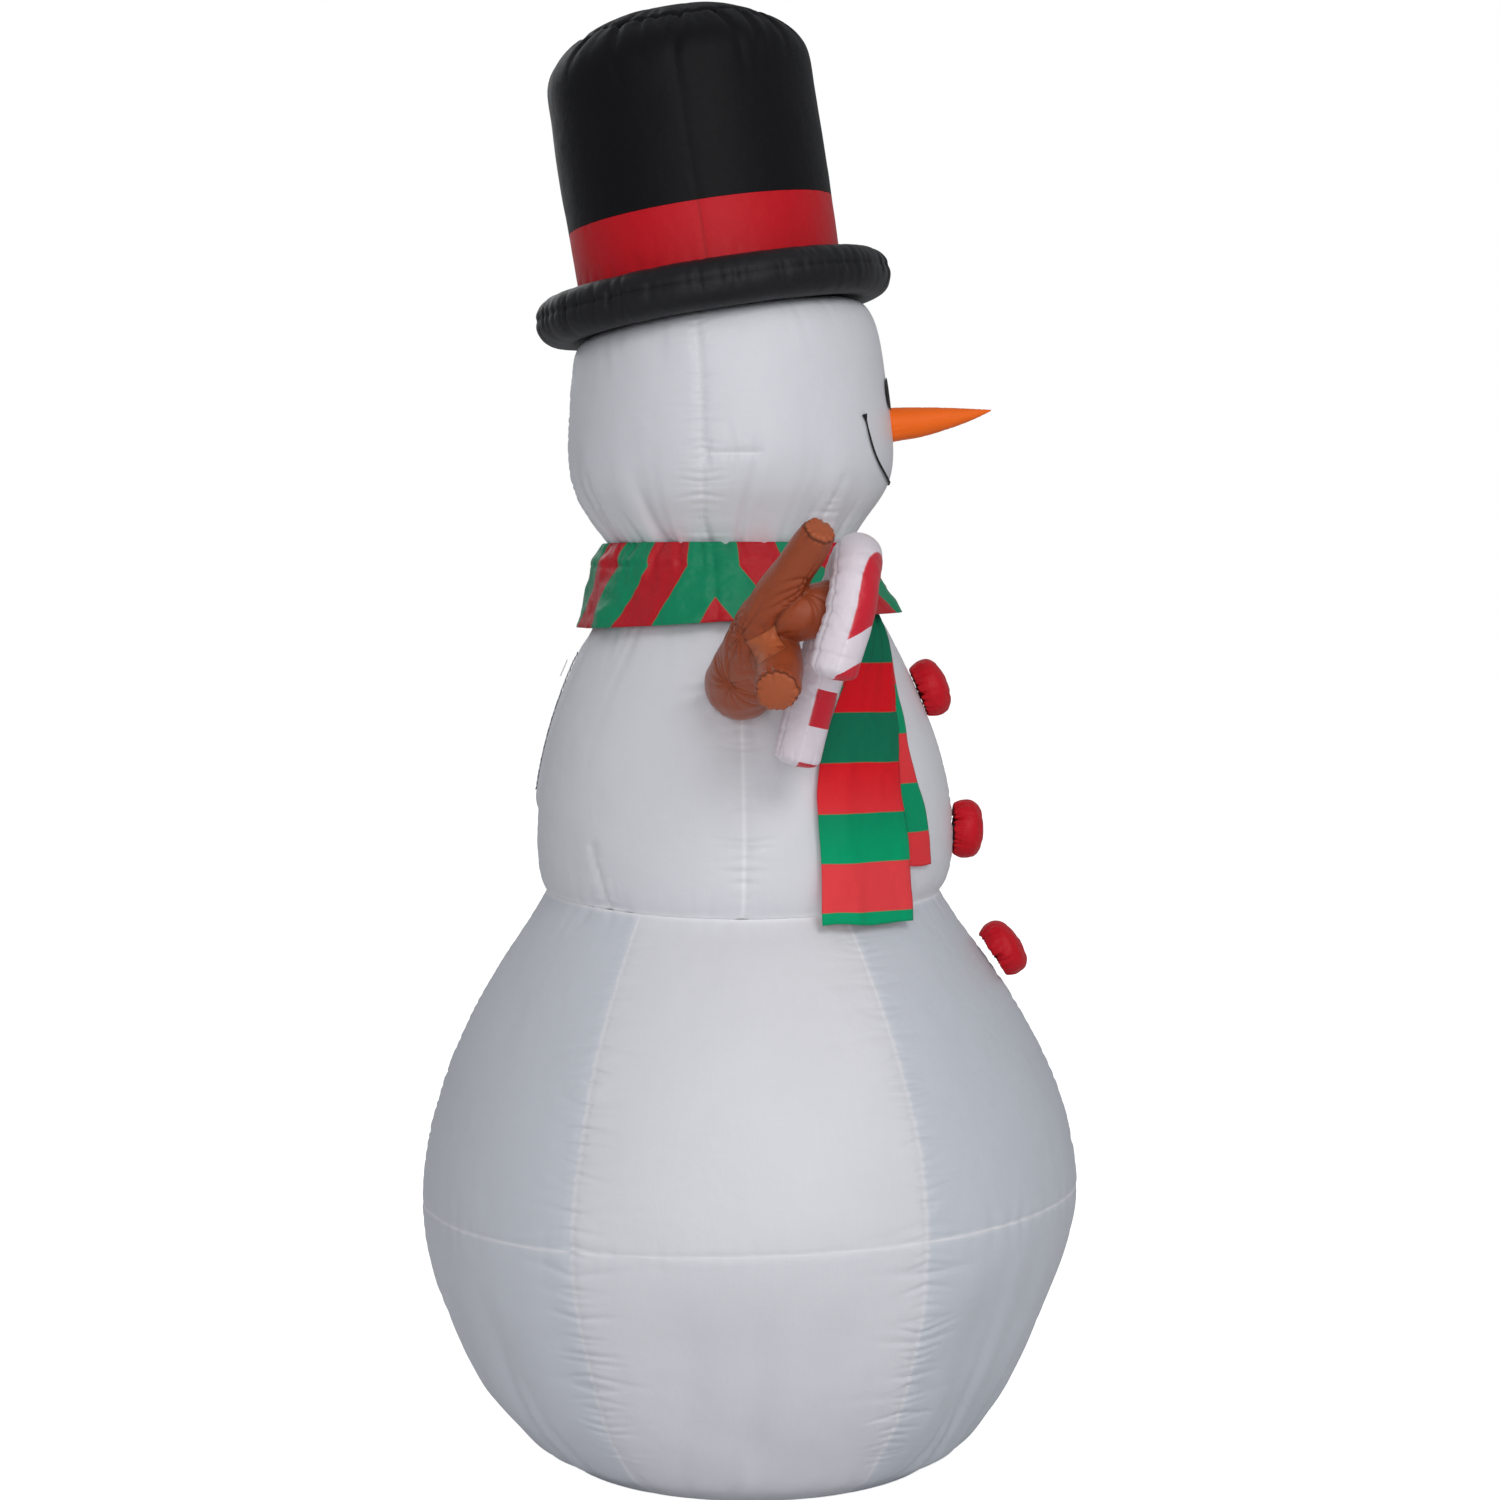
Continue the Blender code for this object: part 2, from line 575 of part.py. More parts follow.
# --------------------------------------------------- blower in the back wall
# local +Z points out of the back of the snowman and a little down
BLOWER = move(0.0, 0.7010, 0.283) @ tip(-90 - 26.0)
BLOWER_HOLE_R, BLOWER_HOLE_DEPTH = 0.1165, 0.10
HOUSING_AT = 0.006
# radius, height: a flanged tube
HOUSING = [(0.124, 0.001), (0.124, -0.003), (0.110, -0.003), (0.108, -0.118),
           (0.104, -0.118), (0.104, 0.001), (0.124, 0.001)]

GUARD_AT = 0.009
GUARD_RINGS = (0.118, 0.094, 0.070, 0.046)
GUARD_WIRE_R = 0.0016
GUARD_SPOKES, SPOKE_SIZE, SPOKE_MIDDLE = 6, (0.100, 0.003, 0.003), 0.069
BOSS_R, BOSS_THICK = 0.024, 0.0036

MOTOR_R, MOTOR_LENGTH, MOTOR_AT = 0.028, 0.046, -0.086
SHAFT_R, SHAFT_LENGTH, SHAFT_AT = 0.003, 0.050, -0.0370
STRUT_SIZE, STRUT_MIDDLE, STRUT_AT = (0.070, 0.006, 0.014), 0.0675, -0.099

# radius, height
IMPELLER_HUB = [(0.0034, -0.014), (0.016, -0.016), (0.026, -0.024), (0.029, -0.058),
                (0.0034, -0.058), (0.0034, -0.014)]
IMPELLER_BLADES = 7
BLADE_ROOT_R, BLADE_SPAN, BLADE_THICK, BLADE_AT = 0.022, 0.077, 0.0022, -0.040
BLADE_CHORD, BLADE_CHORD_GAIN = 0.034, 0.016      # at the root; gained by the tip
BLADE_PITCH, BLADE_PITCH_LOSS = 52, 24            # degrees at the root; lost by the tip

SCREW = [(0.0, 0.0145), (0.0030, 0.0140), (0.0042, 0.0122), (0.0042, 0.0112),
         (0.0, 0.0112)]                           # radius, height
DIAGONAL = math.pi / 4                            # the struts and screws start here


def blower_ring(name, mat, inner, outer, low, high, steps):
    profile = [(outer, high), (outer, low), (inner, low), (inner, high), (outer, high)]
    return turned(name, profile, mat, steps, BLOWER)


def build_blower_mount(lower_panels):
    cut(lower_panels, cylinder("blower_hole", WHITE, BLOWER_HOLE_R, BLOWER_HOLE_DEPTH,
                               BLOWER, 28))
    turned("blower_housing", HOUSING, PLASTIC, 28, BLOWER @ move(0, 0, HOUSING_AT))
    blower_ring("blower_sleeve", WHITE, inner=0.1115, outer=0.1145,
                low=-0.085, high=-0.002, steps=24)
    blower_ring("blower_clamp_ring", PLASTIC, inner=0.1160, outer=0.1210,
                low=-0.072, high=-0.060, steps=24)


def build_guard():
    plane = BLOWER @ move(0, 0, GUARD_AT)
    bits = [torus("ring", PLASTIC, radius, GUARD_WIRE_R, plane, 20, 4)
            for radius in GUARD_RINGS]
    bits += [box("spoke", PLASTIC, SPOKE_SIZE,
                 BLOWER @ spin(k, GUARD_SPOKES) @ move(SPOKE_MIDDLE, 0, GUARD_AT))
             for k in range(GUARD_SPOKES)]
    bits.append(cylinder("boss", PLASTIC, BOSS_R, BOSS_THICK, plane, 16))
    joined("blower_guard", bits, PLASTIC)


def build_motor():
    cylinder("blower_motor", STEEL, MOTOR_R, MOTOR_LENGTH, BLOWER @ move(0, 0, MOTOR_AT), 20)
    collar = blower_ring("collar", PLASTIC, inner=0.0288, outer=0.0335,
                         low=-0.108, high=-0.090, steps=20)
    spider = [add(baked(collar), "collar", PLASTIC)]
    spider += [box("strut", PLASTIC, STRUT_SIZE,
                   BLOWER @ spin(k, 4, DIAGONAL) @ move(STRUT_MIDDLE, 0, STRUT_AT))
               for k in range(4)]
    joined("motor_spider", spider, PLASTIC)
    cylinder("motor_shaft", STEEL, SHAFT_R, SHAFT_LENGTH, BLOWER @ move(0, 0, SHAFT_AT), 10)


def impeller_blade(index):
    """A blade that widens and flattens towards its tip."""
    bm = unit_bar(axis=0, cuts=3)
    for v in bm.verts:
        out = v.co.x + 0.5
        pitch = math.radians(BLADE_PITCH - BLADE_PITCH_LOSS * out)
        across = v.co.y * (BLADE_CHORD + BLADE_CHORD_GAIN * out)
        thick = v.co.z * BLADE_THICK
        v.co = Vector((BLADE_ROOT_R + out * BLADE_SPAN,
                       across * math.cos(pitch) - thick * math.sin(pitch),
                       BLADE_AT + across * math.sin(pitch) + thick * math.cos(pitch)))
    bmesh.ops.recalc_face_normals(bm, faces=bm.faces)
    bmesh.ops.transform(bm, matrix=BLOWER @ spin(index, IMPELLER_BLADES), verts=bm.verts)
    return add(bm, "blade", GREY_PLASTIC)


def build_impeller():
    hub = turned("impeller_hub", IMPELLER_HUB, GREY_PLASTIC, 20, BLOWER)
    bits = [add(baked(hub), "hub", GREY_PLASTIC)]
    bits += [impeller_blade(k) for k in range(IMPELLER_BLADES)]
    joined("impeller", bits, GREY_PLASTIC)


def build_blower_screws():
    for k in range(4):
        turned("blower_screw_%d" % (k + 1), SCREW, STEEL, 8,
               BLOWER @ spin(k, 4, DIAGONAL) @ move(GUARD_RINGS[0], 0, 0))


# ------------------------------------------------------------- power supply
# from the blower's rim down to the ground and round to the left side
CORD = [(0.1525, 0.6985, 0.2562), (0.200, 0.685, 0.235), (0.280, 0.630, 0.190),
        (0.360, 0.545, 0.130), (0.430, 0.455, 0.070), (0.480, 0.390, 0.022),
        (0.520, 0.335, 0.0048), (0.550, 0.270, 0.0045), (0.560, 0.2155, 0.0045)]
CORD_R = 0.0032
RELIEF_AT, RELIEF_WAY = Vector((0.1405, 0.7028, 0.2620)), Vector((0.85, -0.30, -0.40))
ADAPTER_X, ADAPTER_Y, ADAPTER_Z = CORD[-1][0], 0.166, 0.0205
ADAPTER_SIZE = (0.052, 0.088, 0.040)
PLUG_SIZE, PLUG_Y, PLUG_HALF_PITCH = (0.0016, 0.023, 0.0064), 0.1122, 0.0064


def build_power_supply():
    wire("power_cord", CORD, CORD_R)
    cylinder("cord_strain_relief", PLASTIC, 0.0075, 0.022, pointed(RELIEF_WAY, RELIEF_AT), 12,
             top_radius=0.0055)
    rough = box("adapter_body", PLASTIC, ADAPTER_SIZE, move(ADAPTER_X, ADAPTER_Y, ADAPTER_Z))
    modifier(rough, "BEVEL", width=0.005, segments=2)
    body = add(baked(rough), "adapter_body", PLASTIC)
    plug_blades = [box("blade", STEEL, PLUG_SIZE, move(ADAPTER_X + shift, PLUG_Y, ADAPTER_Z))
                   for shift in (-PLUG_HALF_PITCH, PLUG_HALF_PITCH)]
    joined("power_adapter", [body, *plug_blades], PLASTIC)


# ------------------------------------------------------------- lamps inside
LAMP_CABLE_R = 0.0025
LAMP_CABLES = {
    "lower": [(0.0, 0.50, 0.370), (0.01, 0.40, 0.47), (0.012, 0.24, 0.62),
              (0.004, 0.10, 0.80), (0.0, 0.035, 0.98), (0.0, 0.020, 1.13)],
    "torso": [(0.0, 0.018, 1.2335), (0.0, 0.018, 1.42), (0.006, 0.020, 1.6435)],
    "neck": [(0.006, 0.024, 1.7425), (0.0, 0.030, 1.95), (0.0, 0.036, 2.210)],
    "head": [(0.0, 0.050, 2.250), (0.0, 0.055, 2.4685)],
    "hat": [(0.0, 0.059, 2.5675), (0.0, 0.080, 2.85), (0.0, 0.125, 3.1985)]}
# a small clear globe on its socket: radius, height
LAMP = [(0.0, 0.040), (0.009, 0.038), (0.012, 0.030), (0.012, 0.018), (0.018, 0.010),
        (0.023, -0.004), (0.021, -0.020), (0.012, -0.033), (0.0, -0.037)]
LAMPS_AT = [(0.0, 0.018, 1.190), (0.006, 0.022, 1.692), (0.0, 0.057, 2.517),
            (0.0, 0.130, 3.243)]


def build_lamps():
    for place, points in LAMP_CABLES.items():
        wire("lamp_cable_" + place, points, LAMP_CABLE_R)
    for number, centre in enumerate(LAMPS_AT, start=1):
        turned("lamp_%d" % number, LAMP, LENS, 12, move(*centre))


# ------------------------------------------------------------------ assembly
bottom_panels = build_skins()
build_baffles()
build_hat()
build_nose()
build_eye("right", 1)
build_eye("left", -1)
build_smile()
build_buttons()
build_arm("right", 1)
build_arm("left", -1)
build_cane()
build_scarf()
build_zip()
build_blower_mount(bottom_panels)
build_guard()
build_motor()
build_impeller()
build_blower_screws()
build_power_supply()
build_lamps()
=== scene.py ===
"""Looks of the inflatable yard snowman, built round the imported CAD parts.

Fabric chambers are sewn panels, drawn in at the seams, with the gathers that sewing leaves.
Metres, +Z up, standing on z = 0. The snowman faces -Y, so its right side is -X. Bearings round
a chamber start at -X and reach the front at 90 degrees.
"""
import math

import bmesh
import bpy
import numpy as np
from mathutils import Matrix, Vector
from mathutils.bvhtree import BVHTree


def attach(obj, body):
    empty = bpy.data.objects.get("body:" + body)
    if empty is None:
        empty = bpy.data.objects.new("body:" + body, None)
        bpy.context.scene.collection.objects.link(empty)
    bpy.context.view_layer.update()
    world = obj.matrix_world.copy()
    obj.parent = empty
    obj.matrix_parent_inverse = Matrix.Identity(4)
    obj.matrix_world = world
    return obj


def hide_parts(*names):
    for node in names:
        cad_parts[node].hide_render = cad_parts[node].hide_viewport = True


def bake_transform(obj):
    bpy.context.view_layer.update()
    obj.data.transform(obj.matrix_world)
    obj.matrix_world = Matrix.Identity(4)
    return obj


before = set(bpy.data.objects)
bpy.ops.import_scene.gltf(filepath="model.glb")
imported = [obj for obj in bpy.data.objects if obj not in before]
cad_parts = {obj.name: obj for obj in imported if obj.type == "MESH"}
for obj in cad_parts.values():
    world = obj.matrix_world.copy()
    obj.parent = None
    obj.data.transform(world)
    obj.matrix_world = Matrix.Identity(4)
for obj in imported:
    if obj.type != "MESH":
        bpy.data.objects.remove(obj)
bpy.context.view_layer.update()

PI = math.pi
TURN = 2 * PI
DEG = PI / 180.0

# =====================================================================
# numbers and curves
# =====================================================================


def smoothstep(lo, hi, x):
    """Rises from 0 at lo to 1 at hi."""
    t = np.clip((np.asarray(x, float) - lo) / (hi - lo), 0.0, 1.0)
    return t * t * (3 - 2 * t)


def fall(lo, hi, x):
    """Falls from 1 at lo to 0 at hi."""
    return 1 - smoothstep(lo, hi, x)


def between(x, start, full, fade, end):
    """Rises over start..full and falls again over fade..end."""
    return smoothstep(start, full, x) * fall(fade, end, x)


def bell(away, half):
    """1 at zero, dropping to 1/e at half."""
    return np.exp(-((away / half) ** 2))


def unit(vector):
    return vector / np.linalg.norm(vector)


def turns(count, extra=0):
    """Even angles round a circle; one extra repeats the start for a UV seam."""
    return np.arange(count + extra) * TURN / count


def angle_gap(a, b):
    return (a - b + PI) % TURN - PI


def spline(xs, ys, x):
    """Natural cubic through a few points, evaluated at x."""
    xs, ys, x = np.asarray(xs, float), np.asarray(ys, float), np.asarray(x, float)
    n = len(xs)
    h = np.diff(xs)
    system = np.zeros((n, n))
    right = np.zeros(n)
    system[0, 0] = system[-1, -1] = 1.0
    for i in range(1, n - 1):
        system[i, i - 1:i + 2] = h[i - 1], 2 * (h[i - 1] + h[i]), h[i]
        right[i] = 6 * ((ys[i + 1] - ys[i]) / h[i] - (ys[i] - ys[i - 1]) / h[i - 1])
    curve = np.linalg.solve(system, right)
    i = np.clip(np.searchsorted(xs, x) - 1, 0, n - 2)
    after, before = xs[i + 1] - x, x - xs[i]
    return (curve[i] * after ** 3 / (6 * h[i]) + curve[i + 1] * before ** 3 / (6 * h[i])
            + (ys[i] / h[i] - curve[i] * h[i] / 6) * after
            + (ys[i + 1] / h[i] - curve[i + 1] * h[i] / 6) * before)


def splines(xs, table, x):
    """A spline through every column of a table."""
    return np.stack([spline(xs, column, x) for column in table.T], 1)


def arc_lengths(points):
    return np.concatenate([[0], np.cumsum(np.linalg.norm(np.diff(points, axis=0), axis=1))])


def smooth_path(points, step):
    """A rounded path through a few points, evenly spaced, and the distance along it."""
    arc = arc_lengths(points)
    fine = splines(arc, points, np.linspace(0, arc[-1], 400))
    arc = arc_lengths(fine)
    even = np.linspace(0, arc[-1], max(2, int(round(arc[-1] / step)) + 1))
    return np.stack([np.interp(even, arc, column) for column in fine.T], 1), even


def frames_of(path):
    """Tangent, normal and side along a path, without twist."""
    tangent = np.gradient(path, axis=0)
    tangent /= np.linalg.norm(tangent, axis=1)[:, None]
    normal = unit(np.cross(tangent[0], [0.0, 0.0, 1.0]))
    normals = []
    for way in tangent:
        normal = unit(normal - way * np.dot(normal, way))
        normals.append(normal)
    normals = np.array(normals)
    return tangent, normals, np.cross(tangent, normals)


def moved(points, matrix):
    m = np.array(matrix)
    return points @ m[:3, :3].T + m[:3, 3]


# =====================================================================
# noise and gathers
# =====================================================================


def cell(x):
    """The whole part of x and its eased fraction."""
    x = np.asarray(x, float)
    whole = np.floor(x).astype(int)
    part = x - whole
    return whole, part * part * (3 - 2 * part)


def noise1(x, seed, period=None):
    """Smooth noise along a line, -1 to 1; period is a whole number of units."""
    count = period or 1024
    table = np.random.RandomState(seed).uniform(-1, 1, count)
    i, part = cell(x)
    return table[i % count] * (1 - part) + table[(i + 1) % count] * part


def noise2(x, y, seed, period=256):
    """Smooth noise over a plane, repeating along x."""
    table = np.random.RandomState(seed).uniform(-1, 1, (period, 256))
    i, part_x = cell(x)
    j, part_y = cell(y)

    def row(k):
        k = k % 256
        return table[i % period, k] * (1 - part_x) + table[(i + 1) % period, k] * part_x

    return row(j) * (1 - part_y) + row(j + 1) * part_y


def ring_noise(angle, count, seed, shift=0.0):
    """Noise with count cells round a circle."""
    return noise1(angle * count / TURN + shift, seed, count)


def ring_fbm(angle, along, count, size, seed, octaves):
    """Layered noise: count cells round, size metres along, halving each octave."""
    out = 0.0
    for k in range(octaves):
        scale = 2 ** k
        layer = noise2(angle * count / TURN * scale, along / size * scale, seed + 17 * k,
                       count * scale)
        out = out + 0.5 ** k * layer
    return out / 1.75


def gathers(along, away, spacing, depth, reach, seed, period=None, bias=0.25, spread=0.5,
            width=0.20, even=0.15):
    """Gathers on a seam: short creases square to it. Negative is inwards.
    along and away run along and off the seam; the creases fade over reach. bias raises the
    cloth between them, spread varies their length, width is a share of the spacing and even
    is the weakest strength."""
    along, away = np.broadcast_arrays(np.asarray(along, float), np.asarray(away, float))
    rng = np.random.RandomState(seed)
    if period:
        count = max(3, int(round(period / spacing)))
        spacing = period / count
    else:
        count = 997
    jitter = rng.uniform(-0.36, 0.36, count)
    strength = rng.uniform(even, 1.0, count) ** 1.3
    length = rng.uniform(1 - spread, 1 + spread, count) * reach
    lean = rng.uniform(-0.22, 0.22, count)
    out = np.zeros(along.shape)
    base = np.floor(along / spacing).astype(int)
    half = spacing * (width + 0.35 * width * np.clip(away / reach, 0, 1))
    for step in (-1, 0, 1):
        k = base + step
        pick = k % count
        centre = (k + 0.5 + jitter[pick]) * spacing + lean[pick] * away
        fade = np.clip(1 - away / length[pick], 0, 1) ** 1.4
        out -= depth * strength[pick] * bell(along - centre, half) * fade
    return out + depth * bias * np.clip(1 - away / reach, 0, 1) ** 1.5


def ring_gathers(angle, radius, away, **how):
    """Gathers on a seam that closes on itself round a circle."""
    return gathers(angle * radius, away, period=TURN * radius, **how)


# =====================================================================
# meshes
# =====================================================================

LOOSE = bpy.data.collections.new("snowman_looks")
bpy.context.scene.collection.children.link(LOOSE)


def add_object(name, data):
    obj = bpy.data.objects.new(name, data)
    LOOSE.objects.link(obj)
    return obj


def flat_object(name, verts, faces, mat):
    mesh = bpy.data.meshes.new(name)
    mesh.from_pydata(verts, [], faces)
    mesh.update()
    mesh.materials.append(mat)
    return add_object(name, mesh)


def add_attribute(mesh, name, values):
    mesh.attributes.new(name, "FLOAT", "POINT").data.foreach_set(
        "value", np.asarray(values, np.float32).ravel())


def uv_sheet(u, v):
    """UVs from one value per column and one per row."""
    return np.stack(np.broadcast_arrays(u[None, :], v[:, None]), -1)


def grid(name, points, mat, closed=True, uv=None, attributes=None, cap_first=False,
         cap_last=False, flip=False):
    """A sheet of quads through points[row][column]; closed joins the last column to the first.
    uv is [row][column + closed][2] in metres. attributes are floats per point."""
    points = np.asarray(points, float)
    rows, cols = points.shape[:2]
    wide = cols if closed else cols - 1
    r = np.arange(rows - 1)[:, None]
    c = np.arange(wide)[None, :]
    c1 = (c + 1) % cols
    low, high = r * cols, (r + 1) * cols
    quads = np.stack([low + c, low + c1, high + c1, high + c], -1).reshape(-1, 4)
    if flip:
        quads = quads[:, ::-1]
    count = len(quads)
    mesh = bpy.data.meshes.new(name)
    mesh.vertices.add(rows * cols)
    mesh.vertices.foreach_set("co", points.astype(np.float32).ravel())
    mesh.loops.add(count * 4)
    mesh.loops.foreach_set("vertex_index", quads.astype(np.int32).ravel())
    mesh.polygons.add(count)
    mesh.polygons.foreach_set("loop_start", np.arange(0, count * 4, 4, dtype=np.int32))
    mesh.update(calc_edges=True)
    mesh.validate()
    if uv is None:
        wrapped = np.concatenate([points, points[:, :1]], 1) if closed else points
        steps_u = np.linalg.norm(np.diff(wrapped, axis=1), axis=2).mean(0)
        steps_v = np.linalg.norm(np.diff(points, axis=0), axis=2).mean(1)
        uv = uv_sheet(*(np.concatenate([[0], np.cumsum(s)]) for s in (steps_u, steps_v)))
    row = np.broadcast_to(r, (rows - 1, wide)).reshape(-1)
    col = np.broadcast_to(c, (rows - 1, wide)).reshape(-1)
    corner = np.stack([uv[row, col], uv[row, col + 1], uv[row + 1, col + 1], uv[row + 1, col]], 1)
    if flip:
        corner = corner[:, ::-1]
    layer = mesh.uv_layers.new(name="UVMap")
    layer.data.foreach_set("uv", corner.astype(np.float32).ravel())
    for key, value in (attributes or {}).items():
        add_attribute(mesh, key, np.broadcast_to(value, (rows, cols)))
    obj = add_object(name, mesh)
    mesh.materials.append(mat)
    if cap_first or cap_last:
        bm = bmesh.new()
        bm.from_mesh(mesh)
        bm.verts.ensure_lookup_table()
        for wanted, start in ((cap_first, 0), (cap_last, (rows - 1) * cols)):
            if wanted:
                bm.faces.new([bm.verts[start + k] for k in range(cols)])
        bmesh.ops.recalc_face_normals(bm, faces=bm.faces)
        bm.to_mesh(mesh)
        bm.free()
    mesh.shade_smooth()
    return obj


def weld(obj):
    """Joins the rows that lie on each other."""
    bm = bmesh.new()
    bm.from_mesh(obj.data)
    bmesh.ops.remove_doubles(bm, verts=bm.verts, dist=1e-6)
    bmesh.ops.recalc_face_normals(bm, faces=bm.faces)
    bm.to_mesh(obj.data)
    bm.free()


def read_vectors(obj, field):
    values = np.zeros(len(obj.data.vertices) * 3)
    obj.data.vertices.foreach_get(field, values)
    return values.reshape(-1, 3)


def put(obj, points):
    obj.data.vertices.foreach_set("co", np.asarray(points, np.float32).ravel())
    obj.data.update()


def apply_modifiers(obj):
    bpy.context.view_layer.update()
    graph = bpy.context.evaluated_depsgraph_get()
    mesh = bpy.data.meshes.new_from_object(obj.evaluated_get(graph),
                                           preserve_all_data_layers=True, depsgraph=graph)
    old = obj.data
    obj.modifiers.clear()
    obj.data = mesh
    bpy.data.meshes.remove(old)


def thicken(obj):
    solid = obj.modifiers.new("Solidify", "SOLIDIFY")
    solid.thickness, solid.offset, solid.use_rim = 0.0010, 0.0, True
    apply_modifiers(obj)


def join(first, objects):
    with bpy.context.temp_override(active_object=first, selected_editable_objects=objects):
        bpy.ops.object.join()


def bvh_of(obj):
    obj.data.calc_loop_triangles()
    return BVHTree.FromPolygons([v.co.copy() for v in obj.data.vertices],
                                [tuple(t.vertices) for t in obj.data.loop_triangles])


def register(obj, slot, *nodes):
    if nodes:
        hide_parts(*nodes)
    return obj


# =====================================================================
# sewn chambers: rings of a round skin, then seams and gathers
# =====================================================================


def revolve(table, step, cols):
    """Smoothed, evenly spaced rings (height, radius, set-back, tilt). Also gives their
    heights, radii and distance along as columns, and the bearings as a row."""
    table = np.asarray(table, float)
    arc = arc_lengths(table[:, :2])
    along = np.linspace(0, arc[-1], max(3, int(round(arc[-1] / step)) + 1))
    rings = splines(arc, table, along)
    return rings, rings[:, :1], rings[:, 1:2], along[:, None], turns(cols)[None, :]


def place(rings, angle, swell):
    """Points of the skin; swell is how far each stands out from its ring."""
    z, radius, back, tilt = (rings[:, k][:, None] for k in range(4))
    out = radius + swell
    x, y = -out * np.cos(angle), -out * np.sin(angle)
    tilt = tilt * DEG
    return np.stack(np.broadcast_arrays(x, back + y * np.cos(tilt), z + y * np.sin(tilt)), -1)


def square_out(rings):
    """The radial and upward parts of the direction square to a domed skin."""
    tangent = np.gradient(rings[:, :2], axis=0)
    tangent /= np.linalg.norm(tangent, axis=1)[:, None]
    return tangent[:, :1], -tangent[:, 1:]


def along_at(wanted, radius, along):
    """How far along a closing dome its radius comes down to the wanted one."""
    return np.interp(wanted, radius[::-1, 0], along[::-1, 0])


def inflate(obj, pressure, frames, cap, shrink, stiff, bend, pins=None):
    """Blows a closed skin up as cloth and keeps the result, no point moving beyond cap."""
    rest = read_vectors(obj, "co")
    cloth = obj.modifiers.new("Cloth", "CLOTH")
    s = cloth.settings
    s.quality = 5
    s.mass = 0.15
    s.tension_stiffness = s.compression_stiffness = stiff
    s.shear_stiffness = stiff / 3
    s.bending_stiffness = bend
    s.tension_damping = s.compression_damping = 5
    s.air_damping = 1
    s.use_pressure = True
    s.uniform_pressure_force = pressure
    s.shrink_min = shrink
    s.effector_weights.gravity = 0
    cloth.collision_settings.use_collision = False
    cloth.collision_settings.use_self_collision = False
    if pins is not None:
        group = obj.vertex_groups.new(name="pin")
        for i in np.nonzero(pins > 0.01)[0]:
            group.add([int(i)], float(pins[i]), "REPLACE")
        s.vertex_group_mass = "pin"
    cloth.point_cache.frame_start = 1
    cloth.point_cache.frame_end = frames
    scene = bpy.context.scene
    for k in range(1, frames + 1):
        scene.frame_set(k)
    graph = bpy.context.evaluated_depsgraph_get()
    blown = read_vectors(obj.evaluated_get(graph), "co")
    obj.modifiers.remove(cloth)
    obj.vertex_groups.clear()
    scene.frame_set(1)
    # a simulation that runs away leaves the skin at rest
    if np.isfinite(blown).all():
        move = blown - rest
        far = np.linalg.norm(move, axis=1)
        put(obj, rest + move * np.minimum(1.0, cap / np.maximum(far, 1e-9))[:, None])


# =====================================================================
# materials
# =====================================================================


